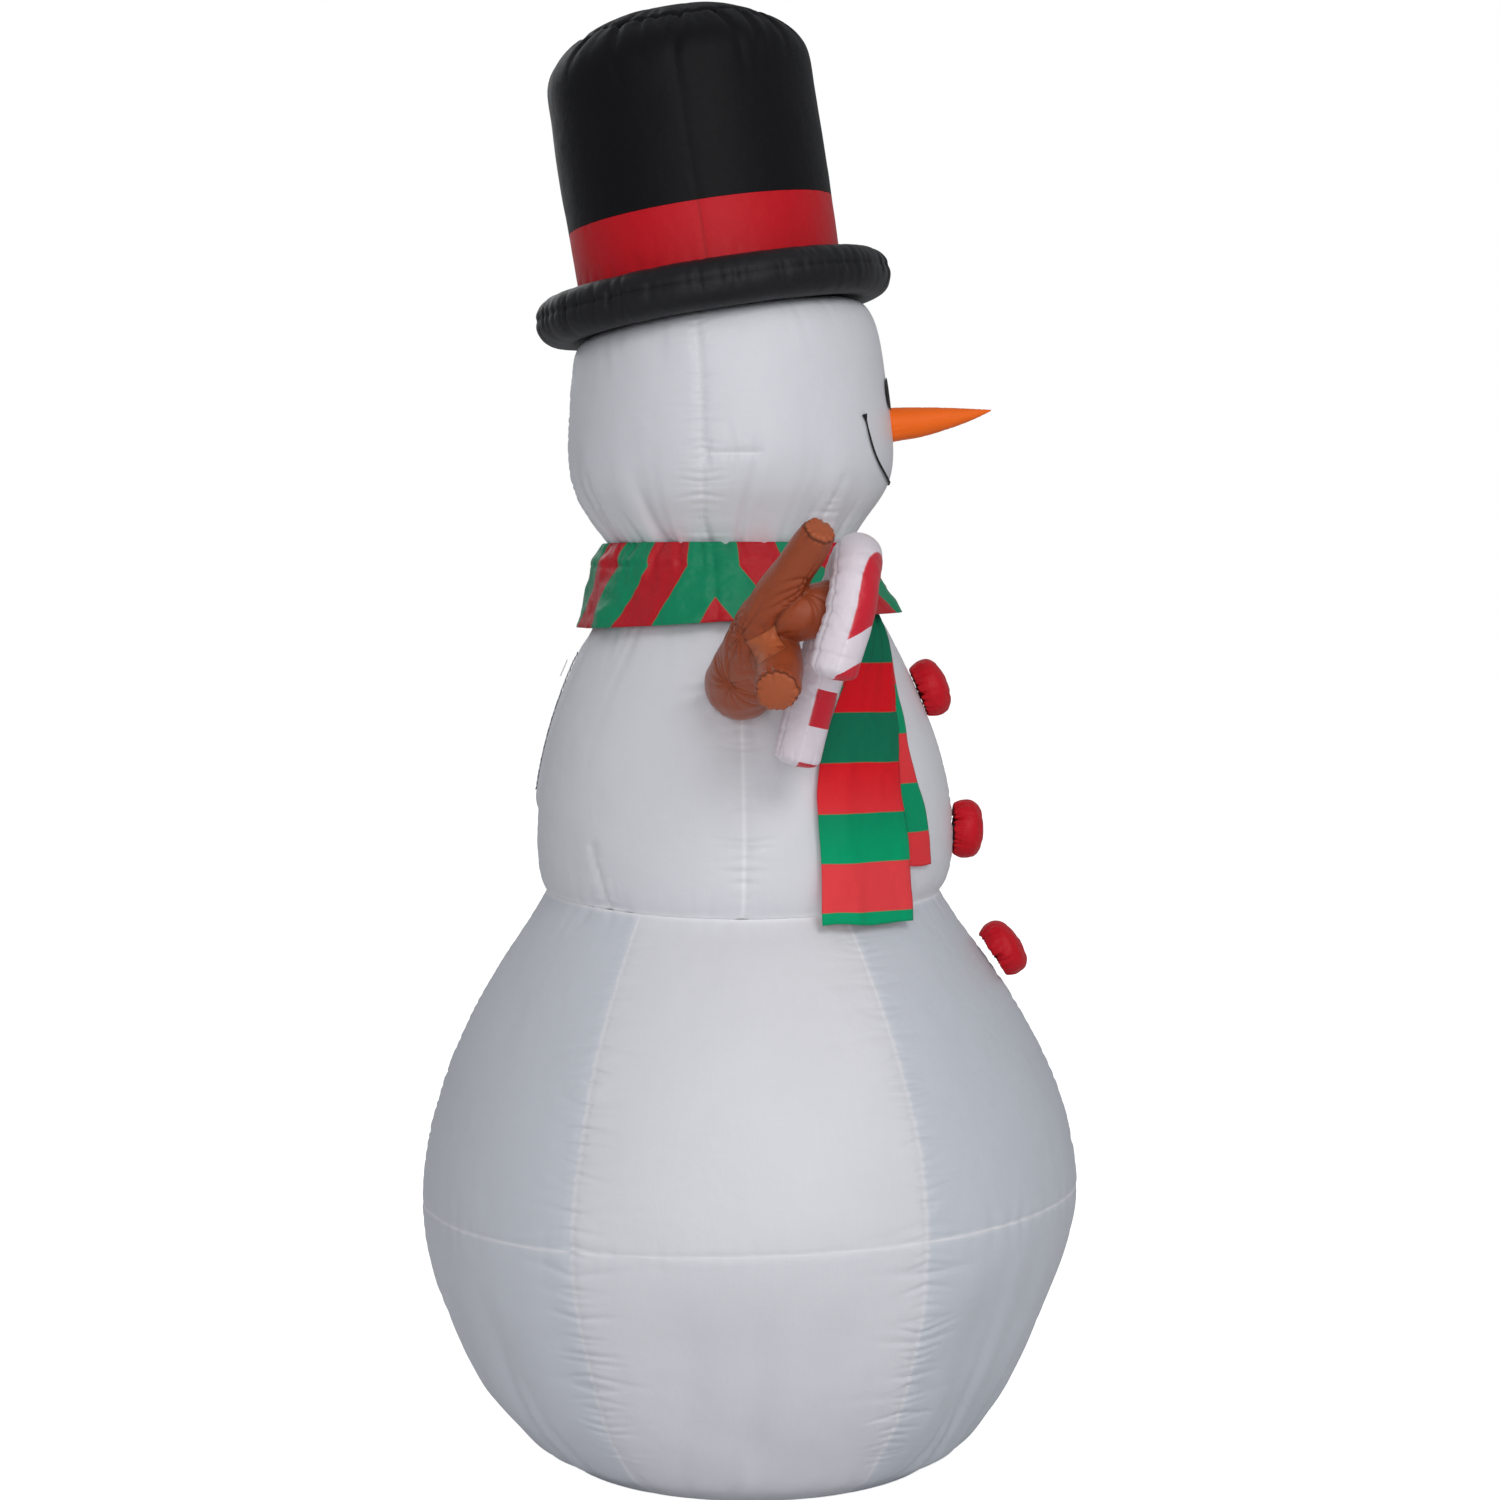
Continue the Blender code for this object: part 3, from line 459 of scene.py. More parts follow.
class Shader:
    """A short way to write shader nodes."""

    def __init__(self, name):
        self.material = bpy.data.materials.new(name)
        self.material.use_nodes = True
        self.tree = self.material.node_tree
        self.tree.nodes.clear()
        self.out = self.node("ShaderNodeOutputMaterial")
        self.bsdf = self.node("ShaderNodeBsdfPrincipled")
        self.link(self.bsdf.outputs[0], self.out.inputs[0])

    def link(self, value, socket):
        if isinstance(value, bpy.types.NodeSocket):
            self.tree.links.new(value, socket)
        elif isinstance(value, tuple):
            socket.default_value = (*value, 1.0)
        else:
            socket.default_value = value

    def node(self, kind, settings=None, **inputs):
        node = self.tree.nodes.new(kind)
        for key, value in (settings or {}).items():
            setattr(node, key, value)
        for key, value in inputs.items():
            self.link(value, node.inputs[key])
        return node

    def principled(self, **values):
        for key, value in values.items():
            self.link(value, self.bsdf.inputs[key.replace("_", " ")])

    def math(self, operation, *values):
        node = self.node("ShaderNodeMath", {"operation": operation})
        for k, value in enumerate(values):
            self.link(value, node.inputs[k])
        return node.outputs[0]

    def plus(self, a, b):
        return self.math("ADD", a, b)

    def minus(self, a, b):
        return self.math("SUBTRACT", a, b)

    def times(self, a, b):
        return self.math("MULTIPLY", a, b)

    def smooth(self, value, lo, hi):
        node = self.node("ShaderNodeMapRange", {"interpolation_type": "SMOOTHSTEP"})
        self.link(value, node.inputs[0])
        node.inputs[1].default_value, node.inputs[2].default_value = lo, hi
        return node.outputs[0]

    def mix(self, factor, a, b, blend="MIX"):
        node = self.node("ShaderNodeMix", {"data_type": "RGBA", "blend_type": blend})
        for value, k in ((factor, 0), (a, 6), (b, 7)):
            self.link(value, node.inputs[k])
        return node.outputs[2]

    def mix_shader(self, factor, a, b):
        node = self.node("ShaderNodeMixShader", Fac=factor)
        self.link(a, node.inputs[1])
        self.link(b, node.inputs[2])
        return node.outputs[0]

    def attribute(self, name):
        return self.node("ShaderNodeAttribute", {"attribute_name": name}).outputs["Fac"]

    def uv(self):
        """The UV vector and its two parts, in metres of cloth."""
        vector = self.node("ShaderNodeUVMap", {"uv_map": "UVMap"}).outputs[0]
        parts = self.node("ShaderNodeSeparateXYZ")
        self.link(vector, parts.inputs[0])
        return vector, parts.outputs[0], parts.outputs[1]

    def noise(self, scale, detail, rough, vector=None):
        node = self.node("ShaderNodeTexNoise", Scale=scale, Detail=detail, Roughness=rough)
        if vector is None:
            vector = self.node("ShaderNodeTexCoord").outputs["Object"]
        self.link(vector, node.inputs["Vector"])
        return node.outputs["Fac"]

    def stretched(self, vector, *scale):
        node = self.node("ShaderNodeMapping", Vector=vector)
        node.inputs["Scale"].default_value = scale
        return node.outputs[0]

    def wobble(self, scale, size):
        """A slow wander, size metres from end to end."""
        return self.times(self.minus(self.noise(scale, detail=2.0, rough=0.5), 0.5), size)

    def odd_stripe(self, stripe):
        """1 on the stripes with an odd number."""
        return self.math("MODULO", self.plus(self.math("FLOOR", stripe), 20.0), 2.0)


def finish_cloth(mat, colour, rough, crinkle, sheen=0.0, pitch=0.0013, weave=0.25, spec=0.35,
                 see_through=0.0, back=0.0, seam=0.0, seam_tint=None):
    """Woven polyester: threads both ways, faint unevenness, small crinkles and a soft sheen.
    pitch is the thread spacing; weave and crinkle are bump strengths; back is the share of
    light let through; seam is how far the seam lines take seam_tint."""
    vector, u, v = mat.uv()
    warp = mat.math("SINE", mat.times(u, TURN / pitch))
    weft = mat.math("SINE", mat.times(v, TURN / pitch))
    threads = mat.times(warp, weft)
    slub_v = mat.noise(1.0, detail=2.0, rough=0.6, vector=mat.stretched(vector, 9.0, 300.0, 9.0))
    slub_u = mat.noise(1.0, detail=2.0, rough=0.6, vector=mat.stretched(vector, 300.0, 9.0, 9.0))
    patch = mat.noise(2.3, detail=4.0, rough=0.55)
    fine = mat.noise(34.0, detail=3.0, rough=0.6)
    # brightness: large patches and thick threads
    level = mat.plus(0.955, mat.times(patch, 0.07))
    level = mat.plus(level, mat.times(mat.minus(mat.plus(slub_v, slub_u), 1.0), 0.035))
    grey = mat.node("ShaderNodeCombineColor", Red=level, Green=level, Blue=level).outputs[0]
    colour = mat.mix(1.0, colour, grey, "MULTIPLY")
    if seam:
        colour = mat.mix(mat.times(mat.attribute("seam"), seam), colour, seam_tint)
    thread_bump = mat.node("ShaderNodeBump", Strength=weave, Distance=0.0003, Height=threads)
    crease = mat.noise(22.0, detail=4.0, rough=0.62)
    bump = mat.node("ShaderNodeBump", Strength=crinkle, Distance=0.004, Height=crease,
                    Normal=thread_bump.outputs[0]).outputs[0]
    mat.principled(Base_Color=colour, Roughness=mat.plus(rough - 0.05, mat.times(fine, 0.10)),
                   Specular_IOR_Level=spec, Sheen_Weight=sheen, Sheen_Roughness=0.45,
                   Normal=bump)
    shader = mat.bsdf.outputs[0]
    if back:
        through = mat.node("ShaderNodeBsdfTranslucent", Color=colour, Normal=bump)
        shader = mat.mix_shader(back, shader, through.outputs[0])
    if see_through:
        clear = mat.node("ShaderNodeBsdfTransparent")
        shader = mat.mix_shader(see_through, shader, clear.outputs[0])
    mat.link(shader, mat.out.inputs[0])
    return mat.material


def toned_cloth(name, dark, light, **finish):
    """Cloth painted from its dark colour, painted shade, to its light one, painted light, by the
    share held in each point's attribute.
    """
    mat = Shader(name)
    return finish_cloth(mat, mat.mix(mat.attribute("lit_share"), dark, light), **finish)


def plain_cloth(name, rgb, **finish):
    mat = Shader(name)
    return finish_cloth(mat, mat.mix(0.0, rgb, rgb), **finish)


COLLAR_RED, COLLAR_GREEN, STITCH = (0.52, 0.009, 0.018), (0.001, 0.255, 0.115), (0.34, 0.20, 0.05)
# painted light on the scarf tails: the pale colours are the stripes with light shining through a
# single layer, the deep ones the stripes with a second layer behind them
DEEP_RED, DEEP_GREEN = (0.84, 0.009, 0.020), (0.006, 0.205, 0.108)
LIT_THROUGH_RED, LIT_THROUGH_GREEN = (1.0, 0.075, 0.085), (0.0005, 0.450, 0.195)
COLLAR_STRIPE, TAIL_STRIPE = 0.117, 0.118
STITCH_STRENGTH = 0.28


def stripes(mat, stripe, width, red, green):
    """Red and green by the floor of stripe, with a stitched line between."""
    off = mat.math("ABSOLUTE", mat.minus(stripe, mat.math("ROUND", stripe)))
    odd = mat.odd_stripe(stripe)
    line = mat.minus(1.0, mat.smooth(mat.times(off, width), lo=0.0006, hi=0.0022))
    return mat.mix(mat.times(line, STITCH_STRENGTH), mat.mix(odd, red, green), STITCH)


def collar_cloth():
    """Upright stripes counted both ways from u = 0, leaning below the casing."""
    mat = Shader("scarf_collar_fabric")
    _, u, v = mat.uv()
    wobble = mat.wobble(6.0, size=0.012)
    lean = mat.times(mat.math("MAXIMUM", mat.minus(v, 0.070), 0.0), 0.62)
    across = mat.minus(mat.plus(mat.math("ABSOLUTE", u), wobble), 0.066)
    stripe = mat.math("DIVIDE", mat.minus(across, lean), COLLAR_STRIPE)
    colour = stripes(mat, stripe, COLLAR_STRIPE, COLLAR_RED, COLLAR_GREEN)
    return finish_cloth(mat, colour, rough=0.30, pitch=0.0022, weave=0.5, crinkle=1.0, spec=0.27)


def tail_cloth():
    """Level stripes; "offset" shifts them and "thin" blends to the pale colours, painted light
    shining through a single layer.
    """
    mat = Shader("scarf_tail_fabric")
    _, _, v = mat.uv()
    height = mat.plus(mat.plus(v, mat.wobble(5.0, size=0.010)), mat.attribute("offset"))
    stripe = mat.math("DIVIDE", height, TAIL_STRIPE)
    colour = mat.mix(mat.attribute("thin"),
                     stripes(mat, stripe, TAIL_STRIPE, DEEP_RED, DEEP_GREEN),
                     stripes(mat, stripe, TAIL_STRIPE, LIT_THROUGH_RED, LIT_THROUGH_GREEN))
    return finish_cloth(mat, colour, rough=0.44, pitch=0.0022, weave=0.5, crinkle=0.45,
                        spec=0.10, see_through=0.08, back=0.12)


def cane_cloth():
    """White cloth with red stripes where "printed" is over a half."""
    mat = Shader("candy_cane_fabric")
    odd = mat.odd_stripe(mat.attribute("stripe"))
    printed = mat.math("GREATER_THAN", mat.attribute("printed"), 0.5)
    colour = mat.mix(mat.times(odd, printed), (0.79, 0.71, 0.775), (0.62, 0.012, 0.030))
    return finish_cloth(mat, colour, rough=0.36, sheen=0.03, crinkle=0.4, seam=0.5,
                        seam_tint=(0.93, 0.9, 0.94))


def hard(name, rgb, rough, bump, metal=0.0, grain=60.0):
    """Plastic or metal with light wear; grain is the scale of its fine noise."""
    mat = Shader(name)
    fine = mat.noise(grain, detail=4.0, rough=0.6)
    wear = mat.smooth(mat.noise(7.0, detail=3.0, rough=0.6), lo=0.35, hi=0.8)
    worn = tuple(min(1.0, c * 1.25 + 0.004) for c in rgb)
    relief = mat.node("ShaderNodeBump", Strength=bump, Distance=0.0006, Height=fine)
    mat.principled(Base_Color=mat.mix(wear, rgb, worn), Metallic=metal, Specular_IOR_Level=0.5,
                   Roughness=mat.plus(rough - 0.06, mat.times(fine, 0.14)),
                   Normal=relief.outputs[0])
    return mat.material


# painted shade and painted light: dark is the white cloth as it looks in shade, light the same cloth
# as it looks lit
WHITE = toned_cloth("white_polyester", dark=(0.610, 0.645, 0.700), light=(0.775, 0.775, 0.815),
                    rough=0.37, sheen=0.03, crinkle=0.40, spec=0.45, seam=0.80,
                    seam_tint=(0.90, 0.90, 0.93))
BLACK = plain_cloth("black_polyester", (0.0055, 0.0055, 0.0066), rough=0.50, sheen=0.004,
                    crinkle=0.6, spec=0.12, seam=0.6, seam_tint=(0.002, 0.002, 0.003))
BRIM = plain_cloth("brim_polyester", (0.0120, 0.0120, 0.0138), rough=0.44, sheen=0.014,
                   crinkle=0.6, spec=0.20, seam=0.7, seam_tint=(0.002, 0.002, 0.003))
BAND = plain_cloth("hat_band_polyester", (0.57, 0.006, 0.014), rough=0.45, crinkle=0.5,
                   spec=0.20, seam=0.4, seam_tint=(0.25, 0.004, 0.01))
BUTTON_RED = plain_cloth("button_polyester", (0.60, 0.006, 0.016), rough=0.42, crinkle=0.8,
                         spec=0.20, seam=0.5, seam_tint=(0.22, 0.003, 0.008))
# painted light: the light brown is the branch cloth as it looks lit, given to the end panels and the
# gusset
BROWN = toned_cloth("branch_polyester", dark=(0.345, 0.072, 0.026), light=(0.50, 0.130, 0.046),
                    rough=0.30, crinkle=0.55, spec=0.26, seam=0.85,
                    seam_tint=(0.060, 0.014, 0.006))
ORANGE = plain_cloth("nose_polyester", (1.0, 0.165, 0.012), rough=0.45, crinkle=0.4, spec=0.18,
                     seam=0.5, seam_tint=(0.5, 0.07, 0.006))
INK = plain_cloth("black_print", (0.0045, 0.0045, 0.005), rough=0.6, crinkle=0.2, spec=0.25)
ZIP_TAPE = plain_cloth("zip_tape", (0.62, 0.63, 0.66), rough=0.7, sheen=0.2, pitch=0.0018,
                       weave=0.8, crinkle=0.1)
COLLAR = collar_cloth()
TAIL = tail_cloth()
CANE = cane_cloth()
PLASTIC = hard("black_plastic", (0.018, 0.018, 0.020), rough=0.42, bump=0.25)
GREY_PLASTIC = hard("grey_plastic", (0.21, 0.21, 0.22), rough=0.40, bump=0.2)
WHITE_PLASTIC = hard("white_plastic", (0.74, 0.74, 0.77), rough=0.38, bump=0.1)
STEEL = hard("plated_steel", (0.62, 0.62, 0.64), rough=0.28, bump=0.15, metal=1.0, grain=120.0)
CABLE = hard("cable_jacket", (0.012, 0.022, 0.014), rough=0.5, bump=0.1)
LENS = hard("lamp_lens", (0.80, 0.80, 0.77), rough=0.15, bump=0.05)

# =====================================================================
# lower ball
# =====================================================================

WAIST_Z = 1.4160
# height, radius, set-back, tilt in degrees
LOWER = [
    (0.0046, 0.464, 0, 0), (0.020, 0.486, 0, 0), (0.051, 0.541, 0, 0), (0.102, 0.592, 0, 0),
    (0.178, 0.651, 0, 0), (0.279, 0.709, 0, 0), (0.406, 0.762, 0, 0), (0.533, 0.803, 0, 0),
    (0.668, 0.8205, 0, 0), (0.787, 0.808, 0, 0), (0.914, 0.774, 0.0005, 0),
    (1.041, 0.723, 0.005, 0), (1.143, 0.669, 0.0085, 0), (1.245, 0.605, 0.012, 0),
    (1.346, 0.537, 0.0155, 0), (WAIST_Z, 0.4945, 0.018, 0)]
# upright folds near the ground: bearing and half width in degrees, depth
LOW_FOLDS = [(1.5, 3.2, 0.0110), (15.5, 3.4, 0.0095), (-11.0, 4.2, 0.0060),
             (178.0, 3.6, 0.0090), (101.0, 3.8, 0.0080), (-72.0, 3.4, 0.0080)]
BASE_Z, BASE_RADII = 0.0012, [0.02, 0.12, 0.22, 0.32, 0.40, 0.452]
# the fan's own frame: centre of its opening, axis along local z
BLOWER = Matrix.Translation((0.0, 0.7010, 0.283)) @ Matrix.Rotation(math.radians(-116.0), 4, "X")
FAN_HOLE, FAN_DEPTH = 0.1125, 0.12


def waist_sag(points, angle):
    """The waist seam dips at both sides."""
    points[..., 2] -= 0.026 * np.cos(angle) ** 2 * bell(points[..., 2] - WAIST_Z, 0.07)
    return points


def lower_relief(z, radius, along, angle, equator):
    """Swell and seam lines of the lower ball."""
    # six panels, a little flat across the middle; across is 0 there and 1 at the seams
    across = np.abs(((angle / DEG + 30) % 60) - 30) / 30
    belly = between(z, 0.0, 0.35, 1.18, 1.40)
    swell = (0.0035 - 0.0075 * np.cos(PI * across / 2) ** 2) * belly
    seam = np.zeros_like(swell)
    pull = 0.62 + 0.38 * between(z, 0.10, 0.26, 0.90, 1.25)
    pull *= smoothstep(0.06, 0.16, z) * (1 - 0.60 * smoothstep(1.20, 1.38, z))
    for k in range(6):
        gap = angle_gap(angle, (30 + 60 * k) * DEG)
        away = np.abs(gap) * radius
        swell -= 0.0034 * bell(away, 0.011) * (0.4 + 0.6 * pull)
        swell += pull * gathers(
            along + 0.02 * noise1(along / 0.3, 40 + k), np.where(gap > 0, away, away * 1.35),
            spacing=0.0245, depth=0.0112, reach=0.090, seed=300 + 7 * k, bias=0.10, spread=0.6,
            width=0.19, even=0.35)
        swell += np.where(away < 0.30, pull * gathers(
            along, away, spacing=0.062, depth=0.0040, reach=0.22, seed=700 + 5 * k, bias=0.1,
            width=0.16), 0)
        seam = np.maximum(seam, bell(away, 0.0035))
    over = z - equator
    swell -= 0.0026 * bell(over, 0.009)
    swell += ring_gathers(angle, 0.80, np.abs(over), spacing=0.058, depth=0.0036, reach=0.075,
                          seed=911, bias=0.1)
    seam = np.maximum(seam, bell(over, 0.0035))
    # painted light: the waist seam is a light line, and wide enough to lift the shade in the gap
    # under the torso
    seam = np.maximum(seam, bell(WAIST_Z - z, 0.007))
    # slack cloth between the widest seam and the ground hangs in soft upright folds
    hang = between(z, 0.02, 0.22, 0.40, 0.72)
    swell += 0.0190 * hang * ring_noise(angle, 20, 21, shift=0.9 * noise1(along * 2.2, 7))
    swell += 0.0035 * hang * ring_noise(angle, 58, 22, shift=0.7 * noise1(along * 3, 8))
    for middle, half, depth in LOW_FOLDS:
        away = angle_gap(angle, (middle + 2.0 * (z - 0.3)) * DEG)
        swell -= depth * bell(away, half * DEG) * between(z, 0.03, 0.20, 0.42, 0.60)
    swell += smoothstep(0.0, 0.05, z) * ring_gathers(
        angle, 0.5, z - 0.01, spacing=0.085, depth=0.0190, reach=0.55, seed=31, bias=0.2)
    # drawn in under the waist
    swell += smoothstep(0.0, 0.01, WAIST_Z - z) * ring_gathers(
        angle, 0.5, WAIST_Z - z, spacing=0.066, depth=0.0035, reach=0.12, seed=57, bias=0.15)
    swell += (0.0034 * ring_fbm(angle, along, count=22, size=0.24, seed=5, octaves=3)
              * between(z, 0.0, 0.12, 1.30, 1.40))
    swell += 0.0007 * ring_fbm(angle, along, count=90, size=0.055, seed=9, octaves=2)
    return swell, seam


def clear_fan(points):
    """Flattens the wall round the fan."""
    local = moved(points, BLOWER.inverted())
    out = np.hypot(local[..., 0], local[..., 1])
    flat = fall(0.125, 0.20, out) * (np.abs(local[..., 2]) < FAN_DEPTH)
    rim = 0.0035 + 0.004 * bell(out - 0.135, 0.02)
    local[..., 2] = local[..., 2] * (1 - flat) + rim * flat
    return np.where((flat > 0)[..., None], moved(local, BLOWER), points)


def cut_fan_hole(obj):
    bm = bmesh.new()
    bm.from_mesh(obj.data)
    inverse = BLOWER.inverted()
    gone = []
    for face in bm.faces:
        c = inverse @ face.calc_center_median()
        if c.x * c.x + c.y * c.y < FAN_HOLE ** 2 and abs(c.z) < FAN_DEPTH:
            gone.append(face)
    bmesh.ops.delete(bm, geom=gone, context="FACES")
    bm.to_mesh(obj.data)
    bm.free()
    obj.data.shade_smooth()


def lower_ball():
    rings, z, radius, along, angle = revolve(LOWER, step=0.0048, cols=520)
    # the level seam is a little higher at the front
    equator = 0.6615 + 0.024 * np.sin(angle)
    swell, seam = lower_relief(z, radius, along, angle, equator)
    # painted light: the panels at the two sides, the right one facing the camera, are painted lighter
    # as lit cloth, with painted shade below the level seam and towards the ground; the panels between
    # are painted lighter behind than in front, to even out the key light falling from the front
    light = (np.abs(((angle / DEG + 30) % 180) - 30) < 30) * (0.86 + 0.14 * smoothstep(0, 0.5, z))
    lit_share = light * (1 - 0.14 * (z < equator)) + (0.21 - 0.11 * np.sin(angle)) * (1 - light)
    points = clear_fan(waist_sag(place(rings, angle, swell), angle))
    # a level base panel closes the bottom
    flat = angle[0]
    base = np.stack([np.stack([-b * np.cos(flat), -b * np.sin(flat), 0 * flat + BASE_Z], -1)
                     for b in BASE_RADII])
    pad = np.zeros(base.shape[:2])
    uv = uv_sheet(turns(520, 1) * 0.82,
                  np.concatenate([np.array(BASE_RADII) - 0.46, along.ravel()]))
    obj = grid("lower_ball", np.concatenate([base, points]), WHITE, uv=uv, cap_first=True,
               attributes={"seam": np.concatenate([pad, seam]),
                           "lit_share": np.concatenate([pad + 0.5, lit_share])})
    cut_fan_hole(obj)
    return register(obj, "white_fabric", "base_panel", "lower_body_bottom_panels",
                    "lower_body_top_panels")


# =====================================================================
# torso, neck and head
# =====================================================================

# the zip follows an arc in the plane x = 0
ZIP_RADIUS = 1.197 + 0.0045
ZIP_Y, ZIP_Z = -0.649, 1.494
# height, radius, set-back, tilt in degrees
TORSO = [
    (WAIST_Z, 0.4950, 0.018, 0), (1.4400, 0.5085, 0.016, 0), (1.489, 0.522, 0.014, 0),
    (1.565, 0.527, 0.013, 0), (1.641, 0.522, 0.014, 0), (1.742, 0.504, 0.016, 0),
    (1.843, 0.474, 0.019, 0), (1.944, 0.433, 0.022, 0), (2.045, 0.385, 0.026, 0),
    (2.120, 0.345, 0.031, 0), (2.167, 0.311, 0.036, 0)]
NECK = [(2.150, 0.318, 0.034, 0), (2.172, 0.304, 0.037, 0), (2.200, 0.2755, 0.040, 0),
        (2.235, 0.268, 0.044, 0), (2.256, 0.276, 0.048, 0)]
HEAD = [
    (2.239, 0.268, 0.045, 0), (2.262, 0.283, 0.050, 0), (2.300, 0.313, 0.055, 0),
    (2.350, 0.349, 0.057, 0), (2.400, 0.3825, 0.054, 0), (2.450, 0.403, 0.050, 0),
    (2.505, 0.411, 0.049, 0), (2.575, 0.409, 0.050, -0.5), (2.640, 0.403, 0.053, -2),
    (2.700, 0.398, 0.057, -4), (2.755, 0.392, 0.061, -6), (2.805, 0.382, 0.068, -8),
    (2.838, 0.362, 0.074, -8.8), (2.856, 0.325, 0.078, -8.8)]
# darts at the bottom of the torso: bearing at the tip, lean, in degrees
TORSO_DARTS, TORSO_DART_TOP = [(-43.5, 3.5), (43.5, -3.5), (136.5, 3.5), (-136.5, -3.5)], 1.548
HEAD_DARTS, HEAD_DART_TOP = (44.0, -61.0, 136.0, 241.0), 2.44
HEAD_SIDE_SEAMS = (-9.5, 189.5)


def torso_relief(z, radius, along, angle):
    """Swell and seam lines of the torso, without the zip."""
    across = np.abs(((angle / DEG + 45) % 90) - 45) / 45
    belly = between(z, 1.43, 1.55, 1.85, 2.10)
    swell = (0.002 - 0.004 * np.cos(PI * across / 2) ** 2) * belly
    seam = np.zeros_like(swell)
    pull = 0.22 + 0.78 * between(z, 1.43, 1.50, 1.62, 1.72)
    for k in range(4):
        away = np.abs(angle_gap(angle, 90 * k * DEG)) * radius
        swell -= 0.0040 * bell(away, 0.013) * (0.3 + 0.7 * pull)
        swell += pull * gathers(
            along + 0.015 * noise1(along / 0.2, 60 + k), away, spacing=0.0245, depth=0.0085,
            reach=0.080, seed=410 + k, bias=0.1, spread=0.6, even=0.3)
        seam = np.maximum(seam, bell(away, 0.0033))
    for k, (bearing, lean) in enumerate(TORSO_DARTS):
        at = (bearing + lean * (1.54 - z) / 0.13) * DEG
        away = np.abs(angle_gap(angle, at)) * radius
        on = fall(1.50, TORSO_DART_TOP, z)
        swell += on * (gathers(along, away, spacing=0.033, depth=0.0070, reach=0.075,
                               seed=510 + k, bias=0.1) - 0.0045 * bell(away, 0.013))
        tip = np.hypot(angle_gap(angle, bearing * DEG) * radius, z - TORSO_DART_TOP)
        swell += 0.003 * bell(tip, 0.06) - 0.0055 * bell(tip, 0.016)
        seam = np.maximum(seam, bell(away, 0.003) * on)
    low = z - WAIST_Z
    # painted light: the waist seam is a light line, and wide enough to lift the shade in the gap over
    # the ball
    seam = np.maximum(seam, bell(low, 0.008))
    swell += smoothstep(0.0, 0.01, low) * ring_gathers(
        angle, 0.5, low, spacing=0.050, depth=0.0038, reach=0.10, seed=77, bias=0.15)
    swell += ring_gathers(angle, 0.4, 2.20 - z, spacing=0.060, depth=0.0085, reach=0.30,
                          seed=79, bias=0.1)
    # diagonal pull where the arms are sewn on
    for seed, bearing in ((881, 0.0), (882, PI)):
        beside, above = angle_gap(angle, bearing) * 0.44, z - 1.949
        out = np.hypot(beside, above)
        swell += (out < 0.26) * ring_gathers(
            np.arctan2(above, beside), 0.2, np.maximum(out - 0.075, 0), spacing=0.10,
            depth=0.0075, reach=0.16, seed=seed, bias=0.05)
    swell += (0.0030 * ring_fbm(angle, along, count=15, size=0.22, seed=15, octaves=3)
              * smoothstep(1.43, 1.50, z))
    swell += 0.0006 * ring_fbm(angle, along, count=60, size=0.05, seed=19, octaves=2)
    return swell, seam


def torso():
    rings, z, radius, along, angle = revolve(TORSO, step=0.0052, cols=400)
    swell, seam = torso_relief(z, radius, along, angle)
    # the strip down the back lies just under the zip's arc
    rest = place(rings, angle, 0.0)
    strip = ((rest[..., 1] > 0) * fall(0.030, 0.075, np.abs(rest[..., 0]))
             * between(z, 1.60, 1.66, 2.02, 2.07))
    under = (ZIP_Y + np.sqrt(ZIP_RADIUS ** 2 - (z - ZIP_Z) ** 2) - 0.0008
             - (rings[:, 2][:, None] + radius))
    swell = swell * (1 - strip) + np.clip(under, 0.0, 0.008) * strip
    obj = grid("torso_cloth", waist_sag(place(rings, angle, swell), angle), WHITE,
               attributes={"seam": seam, "lit_share": 0.90 + 0.10 * ring_noise(angle, 3, 3)},
               cap_first=True)
    return register(obj, "white_fabric", "torso_skin", "waist_baffle", "neck_baffle")


def neck():
    rings, z, _, _, angle = revolve(NECK, step=0.008, cols=200)
    swell = ring_gathers(angle, 0.28, np.abs(z - 2.215), spacing=0.045, depth=0.008, reach=0.08,
                         seed=91)
    obj = grid("neck_cloth", place(rings, angle, swell), WHITE,
               attributes={"seam": 0.0, "lit_share": 0.5})
    return register(obj, "white_fabric", "neck_sleeve")


